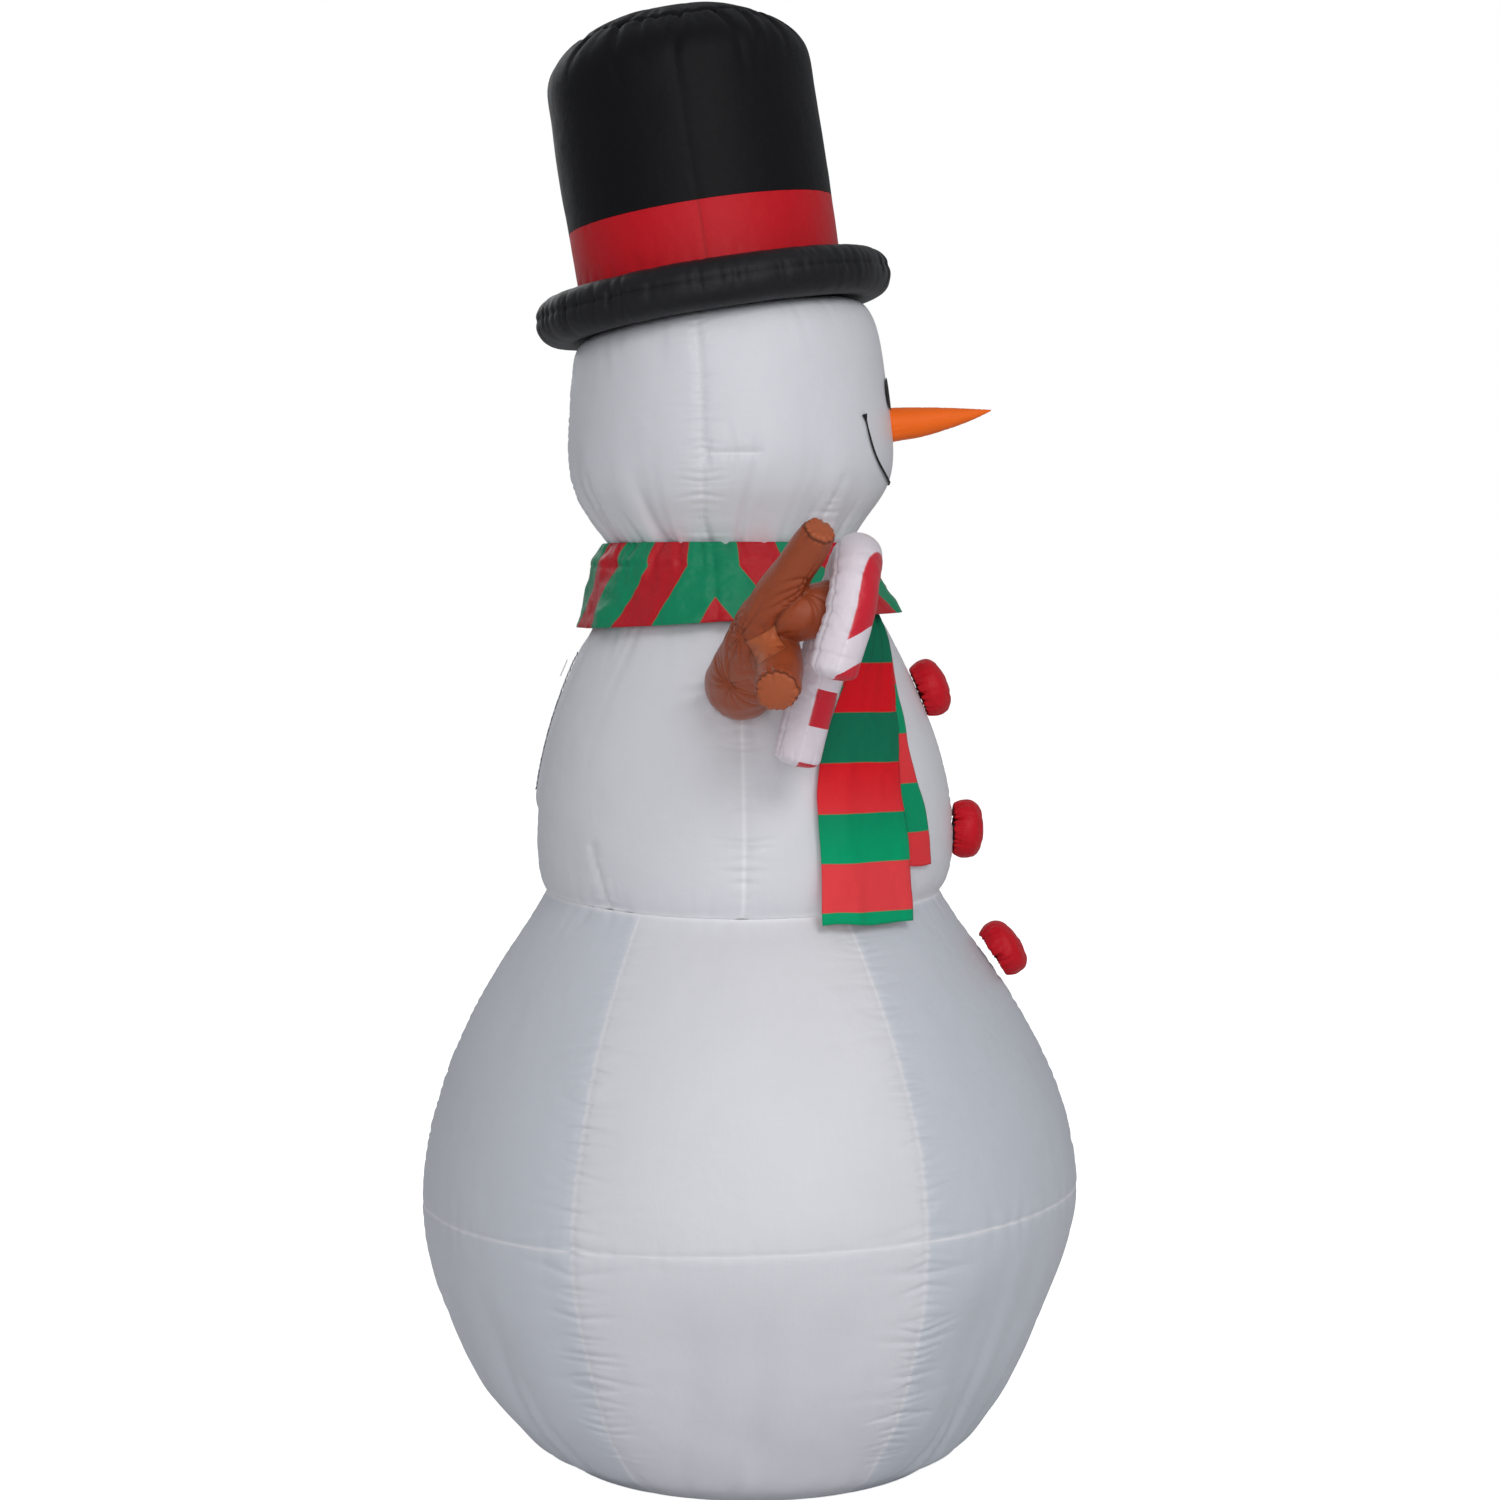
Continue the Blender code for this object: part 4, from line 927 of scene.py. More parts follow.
def head_relief(z, radius, along, angle):
    """Swell and seam lines of the head."""
    swell = np.zeros((len(z), angle.shape[1]))
    seam = np.zeros_like(swell)
    pull = 0.55 + 0.45 * between(z, 2.36, 2.44, 2.58, 2.70)
    # a seam at each side and one at the back; the first number picks their seeds
    for k, bearing in (*enumerate(HEAD_SIDE_SEAMS), (3, -89.0)):
        away = np.abs(angle_gap(angle, bearing * DEG)) * radius
        swell -= 0.0040 * bell(away, 0.013)
        swell += pull * gathers(
            along + 0.015 * noise1(along / 0.2, 90 + k), away, spacing=0.0215, depth=0.0080,
            reach=0.064, seed=610 + k, bias=0.1, spread=0.6, even=0.3)
        seam = np.maximum(seam, bell(away, 0.0032))
    # a short, nearly level dart runs forward from each side seam
    for k, (bearing, sign) in enumerate(zip(HEAD_SIDE_SEAMS, (1, -1))):
        forward = angle_gap(angle, bearing * DEG) * radius * sign
        over = z - (2.495 + 0.02 * forward)
        on = between(forward, -0.004, 0.012, 0.125, 0.165)
        swell += on * (gathers(forward, np.abs(over), spacing=0.024, depth=0.0085, reach=0.075,
                               seed=640 + k, bias=0.1) - 0.0050 * bell(over, 0.012))
        seam = np.maximum(seam, bell(over, 0.003) * on)
    for k, bearing in enumerate(HEAD_DARTS):
        beside = angle_gap(angle, bearing * DEG) * radius
        away = np.abs(beside)
        on = fall(2.395, HEAD_DART_TOP, z)
        swell += on * (gathers(along, away, spacing=0.026, depth=0.0055, reach=0.055,
                               seed=660 + k, bias=0.1) - 0.0060 * bell(away, 0.014))
        tip = np.hypot(beside, z - HEAD_DART_TOP)
        swell += 0.004 * bell(tip, 0.06) - 0.0045 * bell(tip, 0.016)
        seam = np.maximum(seam, bell(away, 0.003) * on)
    # gathered at the neck in three sizes, and at the top
    swell += smoothstep(0.0, 0.06, along) * ring_gathers(
        angle, 0.33, along, spacing=0.105, depth=0.0190, reach=0.36, seed=97, bias=0.2,
        spread=0.45, width=0.24)
    swell += smoothstep(0.0, 0.03, along) * ring_gathers(
        angle, 0.33, along, spacing=0.078, depth=0.0200, reach=0.32, seed=96, bias=0.1,
        width=0.12)
    swell += ring_gathers(angle, 0.33, along, spacing=0.042, depth=0.0080, reach=0.18, seed=98,
                          bias=0.1)
    swell += ring_gathers(angle, 0.38, along[-1] - along, spacing=0.060, depth=0.0050,
                          reach=0.17, seed=99, bias=0.1)
    swell += (0.0032 * ring_fbm(angle, along, count=12, size=0.20, seed=25, octaves=3)
              * smoothstep(0.0, 0.08, along))
    swell += 0.0006 * ring_fbm(angle, along, count=50, size=0.045, seed=29, octaves=2)
    # the face stays taut
    face = fall(30 * DEG, 50 * DEG, np.abs(angle_gap(angle, 90 * DEG)))
    return swell * (1 - 0.65 * face * smoothstep(2.40, 2.46, z)), seam


def head():
    rings, z, radius, along, angle = revolve(HEAD, step=0.0050, cols=360)
    swell, seam = head_relief(z, radius, along, angle)
    # painted light: the head is painted lighter low down, lifting the shade that the collar and arms
    # cast there
    obj = grid("head_cloth", place(rings, angle, swell), WHITE, cap_last=True,
               attributes={"seam": seam, "lit_share": 0.70 + 0.30 * fall(2.32, 2.50, z)})
    return register(obj, "white_fabric", "head_skin")


# =====================================================================
# hat, in its own tilted frame
# =====================================================================

HAT = Matrix.Translation((0.0, 0.092, 2.899)) @ Matrix.Rotation(math.radians(-8.8), 4, "X")
HAT_COLUMNS, HAT_STEP = 320, 0.0055
BAND_RADIUS, BAND_TOP = 0.335, 0.2190
# height, radius, set-back, tilt
BAND_RINGS = [(0.020, 0.333, 0, 0), (0.075, 0.3335, 0, 0), (0.150, BAND_RADIUS, 0, 0),
              (BAND_TOP, 0.3360, 0, 0)]
CROWN_RINGS = [
    (0.2196, 0.3360, 0, 0), (0.330, 0.338, 0, 0), (0.430, 0.339, 0, 0), (0.520, 0.338, 0, 0),
    (0.5875, 0.3355, 0, 0), (0.624, 0.3235, 0, 0), (0.664, 0.2955, 0, 0), (0.7135, 0.233, 0, 0),
    (0.7465, 0.158, 0, 0), (0.7590, 0.080, 0, 0), (0.7625, 0.006, 0, 0)]
CROWN_TOP_SEAM = 0.240  # radius of the ring seam on the dome
BRIM_RADIUS, BRIM_HALF_WIDTH, BRIM_HALF_HEIGHT = 0.392, 0.0600, 0.0580


def hat_band():
    rings, z, _, along, angle = revolve(BAND_RINGS, HAT_STEP, HAT_COLUMNS)
    away = np.abs(angle_gap(angle, 0)) * BAND_RADIUS
    swell = gathers(along, away, spacing=0.022, depth=0.0025, reach=0.045, seed=1001, bias=0.1)
    swell -= 0.0018 * bell(away, 0.010)
    swell += ring_gathers(angle, BAND_RADIUS, np.abs(z - BAND_TOP), spacing=0.045, depth=0.0022,
                          reach=0.04, seed=1002, bias=0.1)
    swell += ring_gathers(angle, BAND_RADIUS, np.abs(z - 0.072), spacing=0.050, depth=0.0035,
                          reach=0.07, seed=1003, bias=0.1)
    swell += (0.0022 * ring_fbm(angle, z, count=11, size=0.14, seed=45, octaves=3)
              * fall(0.185, BAND_TOP, z))
    obj = grid("hat_band_cloth", moved(place(rings, angle, swell), HAT), BAND,
               attributes={"seam": bell(away, 0.003)})
    return register(obj, "red_fabric", "hat_band")


def hat_crown():
    """The black section and its gathered top."""
    rings, z, radius, along, angle = revolve(CROWN_RINGS, HAT_STEP, HAT_COLUMNS)
    swell = np.zeros((len(rings), HAT_COLUMNS))
    middle = 0.25 + 0.75 * between(z, 0.28, 0.36, 0.46, 0.56)
    for bearing, seed in ((0, 1011), (PI, 1012)):
        away = np.abs(angle_gap(angle, bearing)) * radius
        puckers = middle * gathers(along, away, spacing=0.020, depth=0.0024, reach=0.060,
                                   seed=seed, bias=0.08, width=0.18)
        swell += (puckers - 0.0022 * bell(away, 0.010)) * fall(0.60, 0.66, z)
    # gathers on both sides of the ring seam
    below = along_at(CROWN_TOP_SEAM, radius, along) - along
    outside = ring_gathers(angle, 0.30, below, spacing=0.060, depth=0.0170, reach=0.240,
                           seed=1013, bias=0.10, spread=0.45, width=0.16)
    outside += ring_gathers(angle, 0.30, below, spacing=0.040, depth=0.0060, reach=0.12,
                            seed=1014, bias=0.1)
    inside = ring_gathers(angle, 0.30, -below, spacing=0.066, depth=0.0080, reach=0.12,
                          seed=1015, bias=0.2)
    swell += np.where(below >= 0, outside, inside)
    swell -= 0.006 * bell(below, 0.010) + 0.003 * smoothstep(0.30, 0.60, z)
    swell += (0.0030 * ring_fbm(angle, along, count=10, size=0.20, seed=55, octaves=3)
              * smoothstep(0.24, 0.30, z) * smoothstep(0.02, 0.2, radius))
    swell *= smoothstep(0.0, 0.06, radius)
    side = bell(np.abs(angle_gap(angle, 0)) * radius, 0.003) * (z < 0.62)
    # on the dome the cloth stands out square to its surface
    radial, upward = square_out(rings)
    out = radius + swell * radial
    height = z + swell * upward - 0.0150 * smoothstep(0.56, 0.76, z)
    points = np.stack([-out * np.cos(angle), -out * np.sin(angle), height], -1)
    obj = grid("hat_crown_cloth", moved(points, HAT), BLACK, cap_last=True,
               attributes={"seam": np.maximum(side, bell(below, 0.004))})
    return register(obj, "black_fabric", "hat_crown", "hat_top")


def rounded(value):
    """A sine or cosine drawn out to a slightly fuller section."""
    return np.sign(value) * np.abs(value) ** 0.9


def hat_brim():
    """The rolled brim: angle runs round the hat, roll round the tube from its outer side."""
    around, tube = 420, 80
    angle, roll = turns(around)[:, None], turns(tube)[None, :]
    away = np.abs(angle_gap(roll, 10 * DEG)) * 0.059
    swell = ring_gathers(angle, 0.45, away, spacing=0.036, depth=0.0130, reach=0.075, seed=1021,
                         bias=0.18, spread=0.6, width=0.17, even=0.3)
    swell += ring_gathers(angle, 0.45, away, spacing=0.095, depth=0.0095, reach=0.10, seed=1022,
                          bias=0.1, width=0.22)
    swell -= 0.0052 * bell(away, 0.007)
    swell += ring_gathers(angle, 0.34, np.abs(angle_gap(roll, PI)) * 0.06, spacing=0.050,
                          depth=0.0050, reach=0.07, seed=1023, bias=0.1)
    swell += 0.0024 * ring_fbm(angle, roll, count=18, size=TURN / 4, seed=65, octaves=2)
    swell *= 0.75 + 0.25 * ring_noise(angle, 9, 66)
    out = BRIM_RADIUS + (BRIM_HALF_WIDTH + swell) * rounded(np.cos(roll))
    z = (BRIM_HALF_HEIGHT + swell) * rounded(np.sin(roll))
    z = z * (1 + 0.10 * (z > 0)) + 0.0050 + 0.004 * ring_noise(angle, 7, 67)
    points = np.stack([-out * np.cos(angle), -out * np.sin(angle), z], -1)
    obj = grid("hat_brim_cloth", moved(np.concatenate([points, points[:1]]), HAT), BRIM,
               uv=uv_sheet(turns(tube, 1) * 0.06, turns(around, 1) * 0.43),
               attributes={"seam": bell(away, 0.0032)})
    weld(obj)
    return register(obj, "black_fabric", "hat_brim")


# =====================================================================
# scarf
# =====================================================================

# height, radius, set-back, tilt in degrees, from the top edge down
COLLAR_RINGS = [(2.286, 0.3150, 0.052, 0), (2.270, 0.3300, 0.050, 0), (2.230, 0.3540, 0.045, -0.4),
                (2.165, 0.3800, 0.038, -1.5), (2.094, 0.4070, 0.030, -2.7)]
COLLAR_RADIUS, COLLAR_THICK = 0.36, 0.0028
COLLAR_SEAMS = (-7.0, 173.0)
# height, bearing of the middle in degrees, width
LONG_TAIL = [
    (2.118, 61.0, 0.100), (2.060, 57.0, 0.120), (1.960, 46.0, 0.165), (1.860, 38.0, 0.205),
    (1.780, 34.0, 0.228), (1.700, 32.0, 0.240), (1.540, 32.5, 0.252), (1.376, 34.0, 0.262)]
SHORT_TAIL = [
    (2.118, 63.0, 0.100), (2.060, 61.0, 0.130), (1.985, 51.0, 0.180), (1.860, 42.0, 0.225),
    (1.760, 40.0, 0.240), (1.650, 41.3, 0.260), (1.504, 43.2, 0.274)]
TAIL_WIDTH, TAIL_THICK = 0.26, 0.0016
WIDEST_Z, WIDEST_RADIUS = TORSO[3][:2]


def scarf_collar():
    cols = 330
    rings, _, _, down, angle = revolve(COLLAR_RINGS, step=0.0075, cols=cols)
    angle = angle + (COLLAR_SEAMS[0] * DEG - PI)
    swell = ring_gathers(angle, COLLAR_RADIUS, down, spacing=0.044, depth=0.0185, reach=0.110,
                         seed=1101, bias=0.1, spread=0.4, width=0.19)
    swell += ring_gathers(angle, COLLAR_RADIUS, down, spacing=0.021, depth=0.0045, reach=0.055,
                          seed=1102, bias=0.1)
    # a stitched line under the casing, with the cloth standing out above it
    swell -= 0.0050 * bell(down - 0.066, 0.006) * (0.7 + 0.5 * ring_noise(angle, 30, 1103))
    swell += 0.0040 * bell(down - 0.050, 0.018)
    wave = smoothstep(0.07, 0.20, down)
    swell += wave * (0.0095 * ring_noise(angle, 19, 1104) + 0.0045 * ring_noise(angle, 43, 1105))
    for bearing in COLLAR_SEAMS:
        away = np.abs(angle_gap(angle, bearing * DEG)) * COLLAR_RADIUS
        swell += gathers(down, away, spacing=0.030, depth=0.0060, reach=0.055, seed=1106,
                         bias=0.1) - 0.006 * bell(away, 0.009)
    swell += 0.0120 * ring_fbm(angle, down, count=38, size=0.06, seed=1107, octaves=3)
    outer = place(rings, angle, swell)
    outer[..., 2] += wave * 0.0055 * ring_noise(angle, 11, 1108)
    inner = place(rings, angle, swell - COLLAR_THICK)
    inner[..., 2] = outer[..., 2]
    hem = 0.5 * (outer[-1:] + inner[-1:])
    hem[..., 2] -= 0.0018
    brow = 0.5 * (outer[:1] + inner[:1])
    brow[..., 2] += 0.0015
    down = down.ravel()
    uv = uv_sheet((turns(cols, 1) - PI) * 0.37,
                  np.concatenate([[0], down, [down[-1]], down[::-1], [0]]))
    obj = grid("scarf_collar_cloth", np.concatenate([brow, outer, hem, inner[::-1], brow]),
               COLLAR, uv=uv, attributes={"seam": 0.0})
    weld(obj)
    return register(obj, "scarf_fabric", "scarf_collar")


def tail(node, table, lift, seed, offset, loose):
    """A hanging end of the scarf, lift metres off the torso. A loose one has deeper folds and
    is painted pale only towards its foot, as painted light through a single layer. offset shifts the
    stripes."""
    heights, bearings, widths = np.array(sorted(table)).T
    foot, top = heights[0], heights[-1]
    levels = np.append(np.arange(foot, top, 0.0065), top)
    z = levels[:, None]
    side = np.linspace(-0.5, 0.5, 42)
    across = side[None, :]
    torso_z, torso_radius, torso_back, _ = np.array(TORSO).T
    radius = np.where(z < WIDEST_Z, WIDEST_RADIUS, np.interp(z, torso_z, torso_radius)) + lift
    back = np.interp(z, torso_z, torso_back)
    angle = spline(heights, bearings, z) * DEG + across * (np.interp(z, heights, widths) / radius)
    up = z - foot
    deep = 1.0 if loose else 0.5
    fold = (0.0065 * deep * (0.35 + 0.65 * fall(0.0, 0.42, up))
            * np.sin(across * TURN * 1.5 + 2.2 * noise1(up * 3.0, seed) + seed))
    fold += 0.0040 * noise2(across * 5 + 40, up * 9, seed + 1)
    fold += 0.0020 * noise2(across * 14 + 40, up * 24, seed + 2)
    fold += (smoothstep(top - 0.30, top - 0.02, z) * 0.0070 * deep
             * np.sin(across * TURN * 3.2 + noise1(up * 4, seed + 3)))
    swell = np.maximum(np.abs(fold) * 0.35 + fold * 0.65 + 0.0045, 0.0006)
    sag = 0.004 * noise1(across * 3 + 30, seed + 5) * fall(0, 0.05, up)

    def sheet(out):
        return np.stack([-out * np.cos(angle), back - out * np.sin(angle), z + sag], -1)

    # one loop per row: the front, then the back returned
    front, rear = sheet(radius + swell), sheet(radius + swell - TAIL_THICK)
    loop = np.concatenate([side, side[::-1]])
    seam = bell((0.5 - np.abs(loop)) * TAIL_WIDTH - 0.010, 0.0013)
    # painted light: "thin" blends the stripes to their pale colours, light shining through a single
    # layer; the short tail takes three quarters of it throughout
    obj = grid(node + "_cloth", np.concatenate([front, rear[:, ::-1]], 1), TAIL,
               uv=uv_sheet(np.append(loop, side[0]) * TAIL_WIDTH, levels - foot),
               attributes={"seam": seam, "offset": offset,
                           "thin": fall(1.50, 1.80, z) if loose else 0.75},
               cap_first=True, cap_last=True)
    return register(obj, "scarf_fabric", node)


# =====================================================================
# buttons, nose and face
# =====================================================================

# y, z, tilt back from facing forwards in degrees
BUTTONS = {"button_top": (-0.4315, 1.913, 22.0), "button_middle": (-0.5185, 1.567, -1.0),
           "button_bottom": (-0.6190, 1.250, 34.0)}
# height, radius, set-back, tilt
BUTTON_RINGS = [
    (0.000, 0.0570, 0, 0), (0.010, 0.0655, 0, 0), (0.022, 0.0725, 0, 0), (0.036, 0.0745, 0, 0),
    (0.050, 0.0710, 0, 0), (0.0625, 0.0600, 0, 0), (0.0690, 0.0500, 0, 0),
    (0.0745, 0.0340, 0, 0), (0.0775, 0.0160, 0, 0), (0.0785, 0.0020, 0, 0)]
BUTTON_RADIUS, BUTTON_SEAM, BUTTON_SINK = 0.066, 0.0610, 0.004
NOSE_ROOT, NOSE_RISE = np.array([0, -0.3585, 2.588]), math.radians(6.5)
NOSE_RADIUS = 0.043
# distance out, radius, lift
NOSE = np.array([
    (-0.010, 0.0435, -0.0005), (0.0, 0.0430, 0.0), (0.06, 0.0392, -0.001), (0.12, 0.0312, 0.0),
    (0.175, 0.0212, 0.002), (0.22, 0.0112, 0.005), (0.243, 0.0050, 0.0073),
    (0.2535, 0.0012, 0.0085)])
FACE_Y = 0.053
EYE_BEARING, EYE_Z, EYE_HALF_WIDTH, EYE_HALF_HEIGHT = 9.0 * DEG, 2.662, 0.0325, 0.0405
SMILE_RADIUS, SMILE_BEARING, SMILE_Z, SMILE_RISE = 0.41, 36.0, 2.441, 0.160


def button(name, y, z, tilt, seed):
    rings, height, radius, along, angle = revolve(BUTTON_RINGS, step=0.0026, cols=150)
    over = along - along_at(BUTTON_SEAM, radius, along)
    away = np.abs(over)
    swell = ring_gathers(angle, BUTTON_RADIUS, away, spacing=0.0165, depth=0.0115, reach=0.042,
                         seed=seed, bias=0.35, spread=0.4, width=0.2)
    swell += ring_gathers(angle, BUTTON_RADIUS, away, spacing=0.0098, depth=0.0024, reach=0.020,
                          seed=seed + 1, bias=0.1)
    swell += ring_gathers(angle, BUTTON_RADIUS, along, spacing=0.0185, depth=0.0110,
                          reach=0.040, seed=seed + 2, bias=0.3)
    swell -= 0.0038 * bell(over, 0.0028)
    swell += 0.0014 * ring_fbm(angle, along, count=8, size=0.02, seed=seed + 3, octaves=2)
    swell *= smoothstep(0.0, 0.012, radius)
    radial, upward = square_out(rings)
    out = radius + swell * radial
    points = np.stack([out * np.cos(angle), out * np.sin(angle),
                       height + swell * upward - BUTTON_SINK], -1)
    obj = grid(name + "_cloth", points, BUTTON_RED, attributes={"seam": bell(over, 0.0014)},
               cap_first=True, cap_last=True)
    pins = np.broadcast_to(fall(0.0, 0.012, along), swell.shape).ravel()
    inflate(obj, pressure=3.0, frames=14, cap=0.0035, shrink=0.01, stiff=25, bend=0.05,
            pins=pins)
    obj.data.transform(Matrix.Translation((0, y, z))
                       @ Matrix.Rotation(math.radians(90 - tilt), 4, "X")
                       @ Matrix.Rotation(seed * 0.7, 4, "Z"))
    return register(obj, "red_fabric", name)


def nose():
    way = np.array([0, -math.cos(NOSE_RISE), math.sin(NOSE_RISE)])
    side = np.array([1.0, 0, 0])
    up = np.cross(side, way)
    out = np.linspace(NOSE[0, 0], NOSE[-1, 0], 90)
    _, radius, lift = splines(NOSE[:, 0], NOSE, out).T[:, :, None]
    radius = np.maximum(radius, 0.0006)
    out = out[:, None]
    angle = turns(84)[None, :]
    # a seam above and one below
    away = radius * np.minimum(np.abs(angle_gap(angle, -PI / 2)), np.abs(angle_gap(angle, PI / 2)))
    swell = ring_gathers(angle, NOSE_RADIUS, np.maximum(out, 0), spacing=0.019, depth=0.0030,
                         reach=0.050, seed=1201, bias=0.2)
    swell += gathers(out, away, spacing=0.013, depth=0.0016, reach=0.014, seed=1202, bias=0.1)
    swell -= 0.0012 * bell(away, 0.003)
    full = radius + swell * smoothstep(0, 0.01, radius)
    points = (NOSE_ROOT + way * out[..., None] + np.array([0, 0, 1.0]) * lift[..., None]
              + side * (full * np.cos(angle))[..., None] + up * (full * np.sin(angle))[..., None])
    obj = grid("nose_cloth", points, ORANGE, attributes={"seam": bell(away, 0.0016)},
               cap_first=True, cap_last=True)
    return register(obj, "orange_fabric", "nose")


def lay(tree, point, lift):
    """The point laid on the head along a level line from its axis, raised by lift."""
    way = Vector((point[0], point[1] - FACE_Y, 0)).normalized()
    hit, normal, _, _ = tree.ray_cast(Vector(point) + way * 0.15, -way)
    if hit is None:
        # a ray that misses the head leaves the point where it is
        return Vector(point)
    if normal.dot(way) < 0:
        normal = -normal
    return hit + normal * lift


def applique(node, tree, rows, lift, closed=True):
    points = np.array([[list(lay(tree, point, lift)) for point in row] for row in rows])
    obj = grid(node, points, INK, closed, attributes={"seam": 0.0}, cap_first=closed)
    thicken(obj)
    return obj


def eye(side, sign, tree):
    centre = np.array([sign * 0.40 * math.sin(EYE_BEARING),
                       FACE_Y - 0.40 * math.cos(EYE_BEARING), EYE_Z])
    across = np.array([math.cos(EYE_BEARING), sign * math.sin(EYE_BEARING), 0.0])
    upward = np.array([0, -0.03, 1.0])
    rows = [[centre + across * (EYE_HALF_WIDTH * share * math.cos(t))
             + upward * (EYE_HALF_HEIGHT * share * math.sin(t)) for t in turns(44)]
            for share in (0.06, 0.3, 0.55, 0.78, 0.92, 1.0)]
    obj = applique("eye_%s_print" % side, tree, rows, lift=0.0040)
    return register(obj, "black_print", "eye_" + side)


def smile(tree):
    """A thin line, widened to a short bar at each end."""
    share = np.linspace(-1, 1, 150)
    rise = 0.55 * np.abs(share) ** 2.6 + 0.45 * np.abs(share) ** 14
    angle = SMILE_BEARING * share * DEG
    middle = np.stack([-SMILE_RADIUS * np.sin(angle), 0.051 - SMILE_RADIUS * np.cos(angle),
                       SMILE_Z + SMILE_RISE * rise], 1)
    tangent = np.gradient(middle, axis=0)
    tangent /= np.linalg.norm(tangent, axis=1)[:, None]
    square = np.cross(tangent, np.stack([-np.sin(angle), -np.cos(angle), 0 * angle], 1))
    from_end = 1 - np.abs(share)
    half = 0.0034 * (0.55 + 0.45 * smoothstep(0, 0.06, from_end)) + 0.0085 * bell(from_end, 0.010)
    rows = [[middle[i] + square[i] * half[i] * w for w in (-1, -0.33, 0.33, 1)]
            for i in range(len(share))]
    obj = applique("smile_print", tree, rows, lift=0.0042, closed=False)
    return register(obj, "black_print", "smile")


def face(head_obj):
    tree = bvh_of(head_obj)
    return [eye("right", -1, tree), eye("left", 1, tree), smile(tree)]


# =====================================================================
# branch arms, modelled on the right side
# =====================================================================

# centre, radius
TRUNK = [
    ((-0.430, 0.026, 1.938), 0.066), ((-0.470, 0.022, 1.944), 0.082),
    ((-0.520, 0.018, 1.954), 0.088), ((-0.610, -0.004, 1.996), 0.086),
    ((-0.700, -0.020, 2.048), 0.079), ((-0.785, -0.044, 2.112), 0.066),
    ((-0.850, -0.078, 2.180), 0.0515), ((-0.920, -0.130, 2.262), 0.0435),
    ((-0.952, -0.154, 2.300), 0.0395)]
TWIG_FRONT = [
    ((-0.735, -0.045, 2.100), 0.048), ((-0.790, -0.082, 2.110), 0.0595),
    ((-0.827, -0.118, 2.116), 0.0615), ((-0.826, -0.150, 2.123), 0.0620),
    ((-0.813, -0.188, 2.132), 0.0625)]
TWIG_DOWN = [
    ((-0.705, -0.042, 2.075), 0.052), ((-0.770, -0.054, 2.040), 0.058),
    ((-0.830, -0.064, 2.000), 0.0565), ((-0.930, -0.060, 1.945), 0.0515)]
TWIGS = (TRUNK, TWIG_FRONT, TWIG_DOWN)
# low dome of an end panel: distance out, share of the radius
END_DOME = [(0.0035, 0.985), (0.0070, 0.92), (0.0100, 0.74), (0.0120, 0.42), (0.0126, 0.08)]
# creases where the cloth turns: centre, facing, reach, depth
STARS = [
    ((-0.862, -0.104, 2.170), (-0.6, -0.7, 0.3), 0.150, 0.0135),
    ((-0.770, 0.010, 2.060), (-0.8, 0.5, 0.2), 0.150, 0.01125),
    ((-0.700, -0.095, 2.000), (-0.5, -0.8, -0.3), 0.100, 0.0105),
    ((-0.660, 0.050, 1.950), (-0.6, 0.5, -0.6), 0.130, 0.0105),
    ((-0.760, 0.040, 2.100), (-0.5, 0.8, 0.3), 0.120, 0.00975),
    ((-0.640, -0.030, 2.090), (-0.3, -0.1, 0.95), 0.110, 0.0090)]
ARM_ROOT, ARM_WAY = np.array([-0.435, 0.025, 1.940]), unit(np.array([-0.964, -0.106, 0.264]))
GUSSET = np.array([(0.0190, 2.0540), (-0.0580, 2.0950), (-0.0900, 2.0395), (-0.0140, 1.9940)])


def tube_line(stations, step=0.004):
    """Centre and radius along a twig."""
    control = np.array([list(p) + [r] for p, r in stations])
    arc = arc_lengths(control[:, :3])
    return splines(arc, control, np.linspace(0, arc[-1], max(8, int(arc[-1] / step))))


def round_tube(stations):
    """One twig as a closed tube, with its end: the centre, direction and radius."""
    line = tube_line(stations, 0.010)
    centres, radii = line[:, :3], line[:, 3]
    tangent, normal, side = frames_of(centres)
    end, way = centres[-1], tangent[-1]
    centres = np.concatenate([centres, [end + way * out for out, _ in END_DOME]])
    radii = np.concatenate([radii, [radii[-1] * share for _, share in END_DOME]])
    normal, side = (np.concatenate([v, [v[-1]] * len(END_DOME)]) for v in (normal, side))
    angle = turns(56)[None, :, None]
    points = centres[:, None, :] + radii[:, None, None] * (
        normal[:, None, :] * np.cos(angle) + side[:, None, :] * np.sin(angle))
    obj = grid("bit", points, BROWN, cap_first=True, cap_last=True)
    return obj, (end, way, stations[-1][1])


def branch_skin(name):
    """Trunk and twigs fused into one closed skin, and their three ends."""
    bits, ends = zip(*(round_tube(stations) for stations in TWIGS))
    obj = bits[0]
    join(obj, list(bits))
    obj.name = name
    remesh = obj.modifiers.new("Remesh", "REMESH")
    remesh.mode, remesh.voxel_size, remesh.use_smooth_shade = "VOXEL", 0.0036, True
    apply_modifiers(obj)
    smooth = obj.modifiers.new("Smooth", "SMOOTH")
    smooth.iterations, smooth.factor = 3, 0.5
    apply_modifiers(obj)
    return obj, ends


def to_tube(points, line):
    """Distance from a tube's skin, angle round it and place along it (0 to 1), per point."""
    centres, radii = line[:, :3], line[:, 3]
    _, normal, side = frames_of(centres)
    out = np.zeros((len(points), 3))
    for start in range(0, len(points), 4000):
        block = points[start:start + 4000]
        gap = np.linalg.norm(block[:, None, :] - centres[None, :, :], axis=2) - radii[None, :]
        k = gap.argmin(1)
        off = block - centres[k]
        turn = np.arctan2(np.einsum("ij,ij->i", off, side[k]),
                          np.einsum("ij,ij->i", off, normal[k]))
        out[start:start + 4000] = np.stack(
            [gap[np.arange(len(k)), k], turn, k / (len(centres) - 1.0)], 1)
    return out.T


